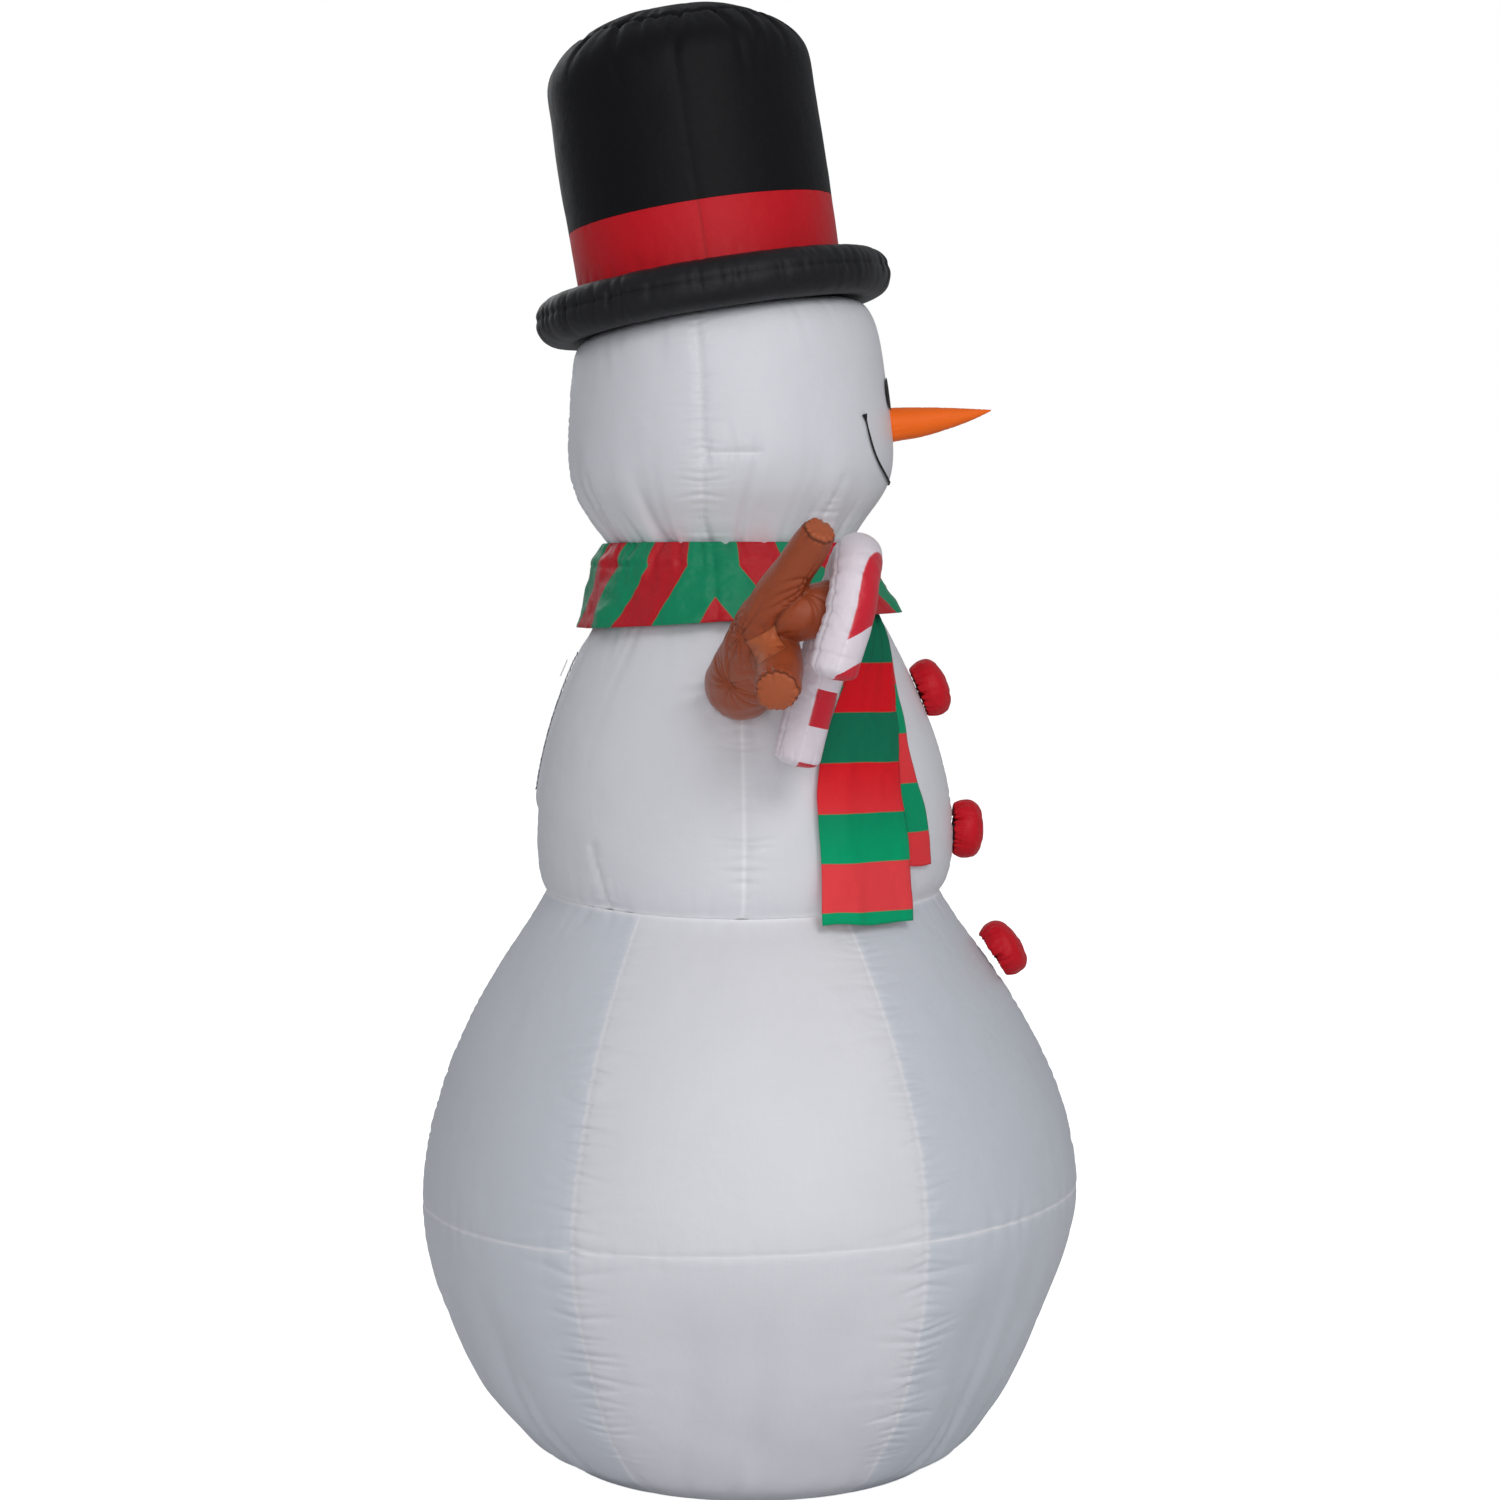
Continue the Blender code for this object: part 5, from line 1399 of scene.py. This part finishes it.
def star(points, normals, centre, facing, reach, depth, seed):
    """Creases that run out from one point of a skin."""
    facing = unit(np.array(facing))
    side = unit(np.cross(facing, [0, 0, 1.0]))
    off = points - np.array(centre)
    x, y = off @ side, off @ np.cross(facing, side)
    out = np.hypot(x, y)
    on = (normals @ facing > -0.1) * (np.abs(off @ facing) < reach)
    creases = ring_gathers(np.arctan2(y, x), 0.1, np.maximum(out - 0.006, 0), spacing=0.050,
                           depth=depth, reach=reach, seed=seed, bias=0.05, width=0.15)
    return on * (creases - 0.55 * depth * bell(out, 0.016))


def twig_joins(points, lines, near):
    """Each twig is sewn into the trunk: a sharp join with gathers on both sides."""
    out, seam = np.zeros(len(points)), np.zeros(len(points))
    for k, tint in ((1, 0.75), (2, 0.35)):
        gap = np.abs(near[k][0] - near[0][0])
        root = lines[k][int(0.32 * len(lines[k])), :3]
        close = fall(0.085, 0.135, np.linalg.norm(points - root, axis=1))
        on_twig = near[k][0] < near[0][0]
        out += close * ring_gathers(near[k][1], 0.060, gap, spacing=0.022, depth=0.0026,
                                    reach=0.040, seed=1310 + k, bias=0.15, spread=0.6, width=0.17)
        out += close * np.where(on_twig, 0.25, 1.0) * ring_gathers(
            near[k][1], 0.060, gap, spacing=0.070, depth=0.0045, reach=0.080, seed=1320 + k,
            bias=0.0, width=0.10)
        out -= close * 0.0018 * bell(gap, 0.004)
        seam = np.maximum(seam, close * tint * bell(gap, 0.0032))
    front, down = near[1][0], near[2][0]
    between_twigs = np.abs(front - down) + np.minimum(front, down).clip(0) * 2
    return out, np.maximum(seam, 0.5 * bell(between_twigs, 0.004))


def end_panel(points, end, way, radius, seed):
    """Swell, seam line and painted light of the gathered panel sewn into an end; the panel is painted
    lighter, as a face turned to the light.
    """
    off = points - end
    along = off @ way
    radial = off - along[:, None] * way
    out = np.linalg.norm(radial, axis=1)
    side = unit(np.cross(way, [0.3, 0.2, 0.9]))
    turn = np.arctan2(radial @ np.cross(way, side), radial @ side)
    here = (out < radius * 1.35) & (along > -0.09) & (along < 0.03)
    # the distance from the seam, over the edge of the panel
    away = np.where(along < 0.0, -along + np.abs(out - radius) * 0.3,
                    np.maximum(radius - out, 0) + 0.2 * along)
    swell = ring_gathers(turn, radius, away, spacing=0.0200, depth=0.0095, reach=0.024,
                         seed=seed, bias=0.22, width=0.21, even=0.5) - 0.0030 * bell(away, 0.0040)
    # painted light: the end panel is painted lighter, as a face turned to the light
    return here * swell, here * bell(away, 0.0030), 0.45 * (here & (along > -0.001) & (out < radius))


def elbow_folds(normals, near):
    """Two folds across the trunk's elbow and a long crease up its thin end."""
    up = near[0][2]
    own = (near[0][0] < near[1][0]) & (near[0][0] < near[2][0])
    turn = np.arctan2(normals[:, 1], -normals[:, 0])
    out = np.zeros(len(normals))
    for centre, wide, depth in ((0.700, 0.0095, 0.0085), (0.730, 0.0080, 0.0070)):
        bent = centre + 0.020 * (turn + 0.5)
        out -= own * depth * bell(up - bent, wide) * fall(-0.75, 0.15, turn)
    crease = bell(turn + 0.62 + 0.5 * (up - 0.85), 0.050)
    return out - own * 0.0075 * crease * between(up, 0.73, 0.79, 0.86, 0.93)


def branch_relief(points, normals, ends, along, turn):
    """Swell, seam lines and painted light on the end panels; along and turn are measured from the
    arm's root.
    """
    lines = [tube_line(stations) for stations in TWIGS]
    near = [to_tube(points, line) for line in lines]
    out, seam = twig_joins(points, lines, near)
    lit_share = np.zeros(len(points))
    # back onto the exact skins, so the joins stay sharp
    caps = np.zeros(len(points), bool)
    for end, way, radius in ends:
        off = points - end
        caps |= (np.linalg.norm(off, axis=1) < radius * 1.35) & (off @ way > -0.006)
    skin = np.min([n[0] for n in near], axis=0)
    out -= np.where(caps, 0, np.clip(skin, -0.004, 0.004)) * 0.9
    for k, end in enumerate(ends):
        swell, line, light = end_panel(points, *end, seed=1300 + 9 * k)
        out += swell
        seam = np.maximum(seam, line)
        lit_share = np.maximum(lit_share, light)
    for k, crease in enumerate(STARS):
        out += star(points, normals, *crease, seed=1400 + k)
    out += elbow_folds(normals, near)
    # gathers where the arm is sewn to the body
    out += (along < 0.12) * ring_gathers(
        turn, 0.08, np.maximum(along, 0), spacing=0.030, depth=0.0080, reach=0.085, seed=1450,
        bias=0.2)
    x, y, z = points.T
    out += 0.0020 * noise2(x * 26 + 40, z * 26 + y * 17, 1460)
    return np.clip(out, -0.016, 0.008), seam, lit_share


def gusset(obj):
    """The small panel stretched where the three twigs meet, on the outer side, painted lighter as
    light shining through the stretched cloth.
    """
    tree = bvh_of(obj)
    n = 33
    u, v = np.meshgrid(np.linspace(0, 1, n), np.linspace(0, 1, n), indexing="ij")
    shares = ((1 - u) * (1 - v), u * (1 - v), u * v, (1 - u) * v)
    yz = sum(share[..., None] * corner for share, corner in zip(shares, GUSSET))
    # the four edges curve inwards
    bow_u, bow_v = 4 * u * (1 - u), 4 * v * (1 - v)
    bow = 0.15 * (bow_u * (1 - bow_v) + bow_v * (1 - bow_u))
    yz += (GUSSET.mean(0) - yz) * bow[..., None]
    skin = np.zeros((n, n))
    for i in range(n):
        for k in range(n):
            hit = tree.ray_cast(Vector((-1.3, yz[i, k, 0], yz[i, k, 1])), Vector((1, 0, 0)))[0]
            # a ray that misses takes a typical depth
            skin[i, k] = hit.x if hit is not None else -0.84
    x = skin + 0.002
    above = skin[1:-1, 1:-1] - 0.0012
    x[1:-1, 1:-1] = above
    for _ in range(260):
        mean = 0.25 * (x[:-2, 1:-1] + x[2:, 1:-1] + x[1:-1, :-2] + x[1:-1, 2:])
        x[1:-1, 1:-1] = np.minimum(mean, above)
    rim = np.minimum(np.minimum(u, 1 - u), np.minimum(v, 1 - v)) * 2
    turn = np.arctan2(v - 0.5, u - 0.5)
    x += (0.0020 * np.cos(7 * turn + 0.8) * smoothstep(0.05, 0.5, np.hypot(u - 0.5, v - 0.5))
          * smoothstep(0.0, 0.25, rim))
    front = np.stack([x, yz[..., 0], yz[..., 1]], -1)
    back = front + np.array([0.0045, 0, 0])
    edge = bell(rim, 0.11)
    # painted light: the gusset takes most of the lit brown, as light shining through it
    return grid("gusset", np.concatenate([front, back[:, ::-1]], 1), BROWN,
                attributes={"seam": np.concatenate([edge, edge[:, ::-1]], 1), "lit_share": 0.85},
                cap_first=True, cap_last=True)


def arm(side):
    obj, ends = branch_skin(side + "_arm_cloth")
    points, normals = read_vectors(obj, "co"), read_vectors(obj, "normal")
    off = points - ARM_ROOT
    along = off @ ARM_WAY
    radial = off - along[:, None] * ARM_WAY
    turn = np.arctan2(radial[:, 2], radial[:, 1])
    swell, seam, lit_share = branch_relief(points, normals, ends, along, turn)
    put(obj, points + normals * swell[:, None])
    inflate(obj, pressure=4.0, frames=10, cap=0.0015, shrink=0.005, stiff=20, bend=0.05,
            pins=(along < 0.02).astype(float))
    add_attribute(obj.data, "seam", seam)
    add_attribute(obj.data, "lit_share", lit_share)
    layer = obj.data.uv_layers.new(name="UVMap")
    x, y, z = read_vectors(obj, "co").T
    corner = np.zeros(len(obj.data.loops), dtype=np.int32)
    obj.data.loops.foreach_get("vertex_index", corner)
    uv = np.stack([x * 0.9 + z * 0.4, y + z * 0.5], 1)
    layer.data.foreach_set("uv", uv[corner].astype(np.float32).ravel())
    obj.data.materials.clear()
    obj.data.materials.append(BROWN)
    join(obj, [obj, gusset(obj)])
    if side == "left":
        obj.data.transform(Matrix.Diagonal((-1, 1, 1, 1)))
        obj.data.flip_normals()
    obj.data.shade_smooth()
    nodes = ("branch", "cap_upper", "cap_front", "cap_lower")
    return register(obj, "brown_fabric", *("%s_arm_%s" % (side, node) for node in nodes))


# =====================================================================
# candy cane
# =====================================================================

CANE_RADIUS, CANE_X = 0.0560, -0.660
HOOK_RADIUS, HOOK_Y, HOOK_Z = 0.134, -0.200, 2.112
# edge of the striped face: share of the length, and the facing (y of the normal) there
CANE_EDGE = [(0, -0.10), (0.42, -0.10), (0.50, -1.02), (0.664, -1.02), (0.690, -0.78),
             (0.725, -0.46), (0.77, -0.27), (0.86, -0.16), (1.0, -0.12)]
# stripe edges from the foot of the stem, and measured back from the far end
STEM_STRIPES = [0.0, 0.014, 0.102, 0.190, 0.278, 0.366, 0.454, 0.542]
LEG_STRIPES = [-0.318, -0.096, -0.012, 0.2]


def cane_path():
    """Up the stem, over the hook and down the short leg."""
    points = [(CANE_X, -0.102, 1.760), (CANE_X, -0.132, 1.880), (CANE_X, -0.165, 2.000),
              (CANE_X, HOOK_Y, HOOK_Z)]
    for k in range(1, 9):
        a = PI * k / 8
        points.append((CANE_X - HOOK_RADIUS + HOOK_RADIUS * math.cos(a),
                       HOOK_Y - 0.033 * math.sin(a) - 0.020 * k / 8,
                       HOOK_Z + HOOK_RADIUS * math.sin(a)))
    return np.array(points + [(-0.928, -0.197, 2.035), (-0.927, -0.180, 1.968)])


def candy_cane():
    path, along = smooth_path(cane_path(), 0.0045)
    _, normal, side = frames_of(path)
    angle = turns(120)[None, :]
    along = along[:, None]
    total = along[-1, 0]
    end = np.minimum(along, total - along)
    outward = (normal[:, None, :] * np.cos(angle)[..., None]
               + side[:, None, :] * np.sin(angle)[..., None])
    facing = outward[..., 1]
    # the striped face is sewn to plain side strips; over the hook its edge runs forwards
    share = along / total
    edge = np.interp(share, *zip(*CANE_EDGE))
    away = np.minimum(np.abs(facing - edge), np.abs(facing - 0.80)) * CANE_RADIUS
    swell = gathers(along, away, spacing=0.0165, depth=0.0048, reach=0.030, seed=1501,
                    spread=0.6, width=0.19)
    swell += gathers(along, away, spacing=0.043, depth=0.0042, reach=0.045, seed=1502, bias=0.1)
    swell -= 0.0026 * bell(away, 0.0034)
    swell += 0.0012 * ring_fbm(angle, along, count=6, size=0.05, seed=1503, octaves=2)
    swell += ring_gathers(angle, CANE_RADIUS, np.maximum(end - 0.012, 0), spacing=0.018,
                          depth=0.0045, reach=0.034, seed=1504, bias=0.2)
    # the ends close in a low gathered panel
    closing = np.sqrt(np.clip(1 - ((0.030 - np.minimum(end, 0.030)) / 0.030) ** 2.6, 0.0, 1.0))
    radius = (CANE_RADIUS + swell * smoothstep(0.0, 0.012, end)) * np.maximum(closing, 0.02)
    # stripes: square across the stem, slanting on the short leg
    slanted = along + (edge - facing) * 0.055 * smoothstep(0.62, 0.80, share)
    knots = STEM_STRIPES + [total + back for back in LEG_STRIPES]
    obj = grid("candy_cane_cloth", path[:, None, :] + outward * radius[..., None], CANE,
               attributes={"seam": bell(away, 0.0016), "printed": 0.5 + edge - facing,
                           "stripe": np.interp(slanted, knots, np.arange(len(knots)) + 1.0)},
               cap_first=True, cap_last=True)
    inflate(obj, pressure=3.0, frames=10, cap=0.0020, shrink=0.005, stiff=25, bend=0.02)
    return register(obj, "cane_fabric", "candy_cane")


# =====================================================================
# zip fastener and fan channel
# =====================================================================

TEETH, TEETH_FROM, TEETH_TO = 150, 8.8, 25.0  # count, and angles on the arc in degrees
TOOTH_SIZE, TOOTH_OFFSET, TOOTH_LIFT = (0.0040, 0.0019, 0.0015), 0.0011, 0.0027
TAPE_HALF_WIDTH, TAPE_STITCH, TAPE_FROM, TAPE_TO = 0.018, 0.0125, 8.2, 25.6


def zip_teeth():
    """Small blocks set by turns to the left and right of the arc."""
    cube = np.array([(x, y, z) for x in (-.5, .5) for y in (-.5, .5) for z in (-.5, .5)])
    quads = [(0, 1, 3, 2), (4, 6, 7, 5), (0, 4, 5, 1), (2, 3, 7, 6), (0, 2, 6, 4), (1, 5, 7, 3)]
    radius = ZIP_RADIUS + TOOTH_LIFT
    verts, faces = [], []
    for k in range(TEETH):
        a = math.radians(TEETH_FROM + (TEETH_TO - TEETH_FROM) * k / TEETH)
        x = TOOTH_OFFSET if k % 2 else -TOOTH_OFFSET
        matrix = (Matrix.Translation((x, ZIP_Y + radius * math.cos(a), ZIP_Z + radius * math.sin(a)))
                  @ Matrix.Rotation(a, 4, "X") @ Matrix.Diagonal((*TOOTH_SIZE, 1)))
        faces.extend([tuple(len(verts) + i for i in quad) for quad in quads])
        verts.extend(moved(cube, matrix).tolist())
    obj = flat_object("zip_teeth_row", verts, faces, WHITE_PLASTIC)
    return register(obj, "white_plastic", "zipper_teeth")


def zip_tape():
    """Tape with a woven edge and two rows of stitching, lying on the cloth."""
    i = np.arange(170)[:, None]
    angle = np.linspace(TAPE_FROM, TAPE_TO, 170)[:, None] * DEG
    x = np.linspace(-TAPE_HALF_WIDTH, TAPE_HALF_WIDTH, 25)[None, :]
    wobble = 0.0006 * np.sin(i * 0.9) + 0.0005 * np.sin(i * 0.37 + 1)
    stitch = bell(np.abs(x) - TAPE_STITCH, 0.0007)
    radius = (ZIP_RADIUS + 0.0010 + wobble * np.abs(x) / TAPE_HALF_WIDTH - 0.0007 * stitch
              + 0.0002 * np.sin(x * 2400))
    points = np.stack(np.broadcast_arrays(
        x, ZIP_Y + radius * np.cos(angle), ZIP_Z + radius * np.sin(angle)), -1)
    obj = grid("zip_tape_cloth", points, ZIP_TAPE, closed=False, flip=True,
               attributes={"seam": stitch * (0.5 + 0.5 * np.sin(i * 1.9))})
    thicken(obj)
    return register(obj, "white_fabric", "zipper_tape")


def fan_channel():
    """The cloth channel gathered round the fan's flange."""
    angle, roll = turns(220)[:, None], turns(20)[None, :]
    swell = ring_gathers(angle, 0.13, np.abs(angle_gap(roll, PI / 2)) * 0.008, spacing=0.017,
                         depth=0.0028, reach=0.02, seed=1601, bias=0.2)
    out = 0.1325 + (0.0095 + swell) * np.cos(roll)
    z = 0.0010 + (0.0055 + swell * 0.8) * np.sin(roll)
    points = np.stack([out * np.cos(angle), out * np.sin(angle), z], -1)
    obj = grid("fan_channel_cloth", moved(np.concatenate([points, points[:1]]), BLOWER), WHITE,
               attributes={"seam": 0.0, "lit_share": 0.4})
    weld(obj)
    return register(obj, "white_fabric")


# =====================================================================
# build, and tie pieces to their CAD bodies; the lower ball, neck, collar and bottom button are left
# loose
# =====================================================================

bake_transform(lower_ball())
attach(torso(), "torso")
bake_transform(neck())
skull = head()
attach(skull, "head")
for piece in (hat_band(), hat_crown(), hat_brim()):
    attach(piece, "head")
for piece in face(skull):
    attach(piece, "head")
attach(nose(), "head")
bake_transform(scarf_collar())
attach(tail("scarf_tail_long", LONG_TAIL, lift=0.0185, seed=3, offset=0.208, loose=True),
        "tail_long")
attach(tail("scarf_tail_short", SHORT_TAIL, lift=0.0050, seed=8, offset=0.0364, loose=False),
        "tail_short")
for number, (name, (y, z, tilt)) in enumerate(BUTTONS.items()):
    puff = button(name, y, z, tilt, seed=1701 + 11 * number)
    if name == "button_bottom":
        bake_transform(puff)
    else:
        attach(puff, "torso")
for side in ("right", "left"):
    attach(arm(side), side + "_arm")
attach(candy_cane(), "right_arm")
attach(zip_tape(), "torso")
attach(zip_teeth(), "torso")
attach(fan_channel(), "base")

# these pieces keep their CAD shape and take a finish
FINISH = {
    PLASTIC: ("blower_clamp_ring", "blower_guard", "blower_housing", "motor_spider",
              "cord_strain_relief", "power_adapter"),
    WHITE_PLASTIC: ("zipper_pull",),
    GREY_PLASTIC: ("impeller",),
    STEEL: ("blower_motor", "blower_screw_1", "blower_screw_2", "blower_screw_3",
            "blower_screw_4", "motor_shaft", "zipper_slider"),
    CABLE: ("power_cord", "lamp_cable_lower", "lamp_cable_torso", "lamp_cable_neck",
            "lamp_cable_head", "lamp_cable_hat"),
    LENS: ("lamp_1", "lamp_2", "lamp_3", "lamp_4"),
    WHITE: ("blower_sleeve",)}
for finish, names in FINISH.items():
    for name in names:
        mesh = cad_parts[name].data
        mesh.materials.clear()
        mesh.materials.append(finish)
        mesh.shade_smooth()
        mesh.set_sharp_from_angle(angle=math.radians(35))

# =====================================================================
# floor, light and camera
# =====================================================================


def studio_world():
    """Soft light all round, seen by the camera as plain white."""
    world = bpy.data.worlds.new("studio")
    world.use_nodes = True
    nodes, links = world.node_tree.nodes, world.node_tree.links
    ambient = nodes["Background"]
    ambient.inputs["Color"].default_value = (0.95, 0.97, 1.0, 1)
    ambient.inputs["Strength"].default_value = 0.37
    seen = nodes.new("ShaderNodeBackground")
    seen.inputs["Color"].default_value = (1, 1, 1, 1)
    seen.inputs["Strength"].default_value = 1.0
    ray = nodes.new("ShaderNodeLightPath")
    pick = nodes.new("ShaderNodeMixShader")
    links.new(ray.outputs["Is Camera Ray"], pick.inputs[0])
    links.new(ambient.outputs[0], pick.inputs[1])
    links.new(seen.outputs[0], pick.inputs[2])
    links.new(pick.outputs[0], nodes["World Output"].inputs[0])
    return world


def floor_material():
    """Pale ground with a glow that only the camera sees, so it stays light far off."""
    material = bpy.data.materials.new("floor")
    material.use_nodes = True
    nodes, links = material.node_tree.nodes, material.node_tree.links
    ground = nodes["Principled BSDF"]
    ground.inputs["Base Color"].default_value = (0.80, 0.80, 0.81, 1)
    ground.inputs["Roughness"].default_value = 0.9
    ground.inputs["Specular IOR Level"].default_value = 0.1
    glow = nodes.new("ShaderNodeEmission")
    glow.inputs["Color"].default_value = (1, 1, 1, 1)
    ray = nodes.new("ShaderNodeLightPath")
    power = nodes.new("ShaderNodeMath")
    power.operation = "MULTIPLY"
    power.inputs[1].default_value = 0.86
    both = nodes.new("ShaderNodeAddShader")
    links.new(ray.outputs["Is Camera Ray"], power.inputs[0])
    links.new(power.outputs[0], glow.inputs["Strength"])
    links.new(ground.outputs[0], both.inputs[0])
    links.new(glow.outputs[0], both.inputs[1])
    links.new(both.outputs[0], nodes["Material Output"].inputs[0])
    return material


def lamp(name, at, to, size, watts, tint):
    """A square area light at one point, aimed at another."""
    light = bpy.data.lights.new(name, "AREA")
    light.shape = "RECTANGLE"
    light.size = light.size_y = size
    light.energy = watts
    light.color = tint
    obj = add_object(name, light)
    obj.location = at
    obj.rotation_euler = (Vector(to) - Vector(at)).to_track_quat("-Z", "Y").to_euler()
    return obj


scene = bpy.context.scene
scene.view_settings.view_transform = "Standard"
scene.world = studio_world()

FLOOR_HALF, FLOOR_Z = 60, -0.0008
corners = [(x * FLOOR_HALF, y * FLOOR_HALF, FLOOR_Z) for x, y in ((-1, -1), (1, -1), (1, 1), (-1, 1))]
flat_object("floor", corners, [(0, 1, 2, 3)], floor_material())

lamp("key", at=(-7.4, -3.0, 6.6), to=(0, 0, 1.7), size=3.4, watts=225,
              tint=(1.0, 0.99, 0.985))
lamp("front", at=(-9.5, 0.6, 3.0), to=(0, 0, 1.7), size=3.0, watts=175,
              tint=(0.98, 0.99, 1.0))
lamp("rim", at=(4.5, 2.5, 5.0), to=(0, 0, 2.0), size=3.0, watts=40,
              tint=(0.97, 0.98, 1.0))

# the camera stands on the snowman's right and looks along +X
lens = bpy.data.cameras.new("camera")
lens.lens, lens.sensor_width, lens.sensor_fit = 72.0, 36.0, "HORIZONTAL"
lens.shift_y = -0.1050
lens.clip_end = 200
camera = add_object("camera", lens)
camera.location = (-7.594, 0.0, 2.164)
camera.rotation_euler = (PI / 2, 0, -PI / 2)
scene.camera = camera
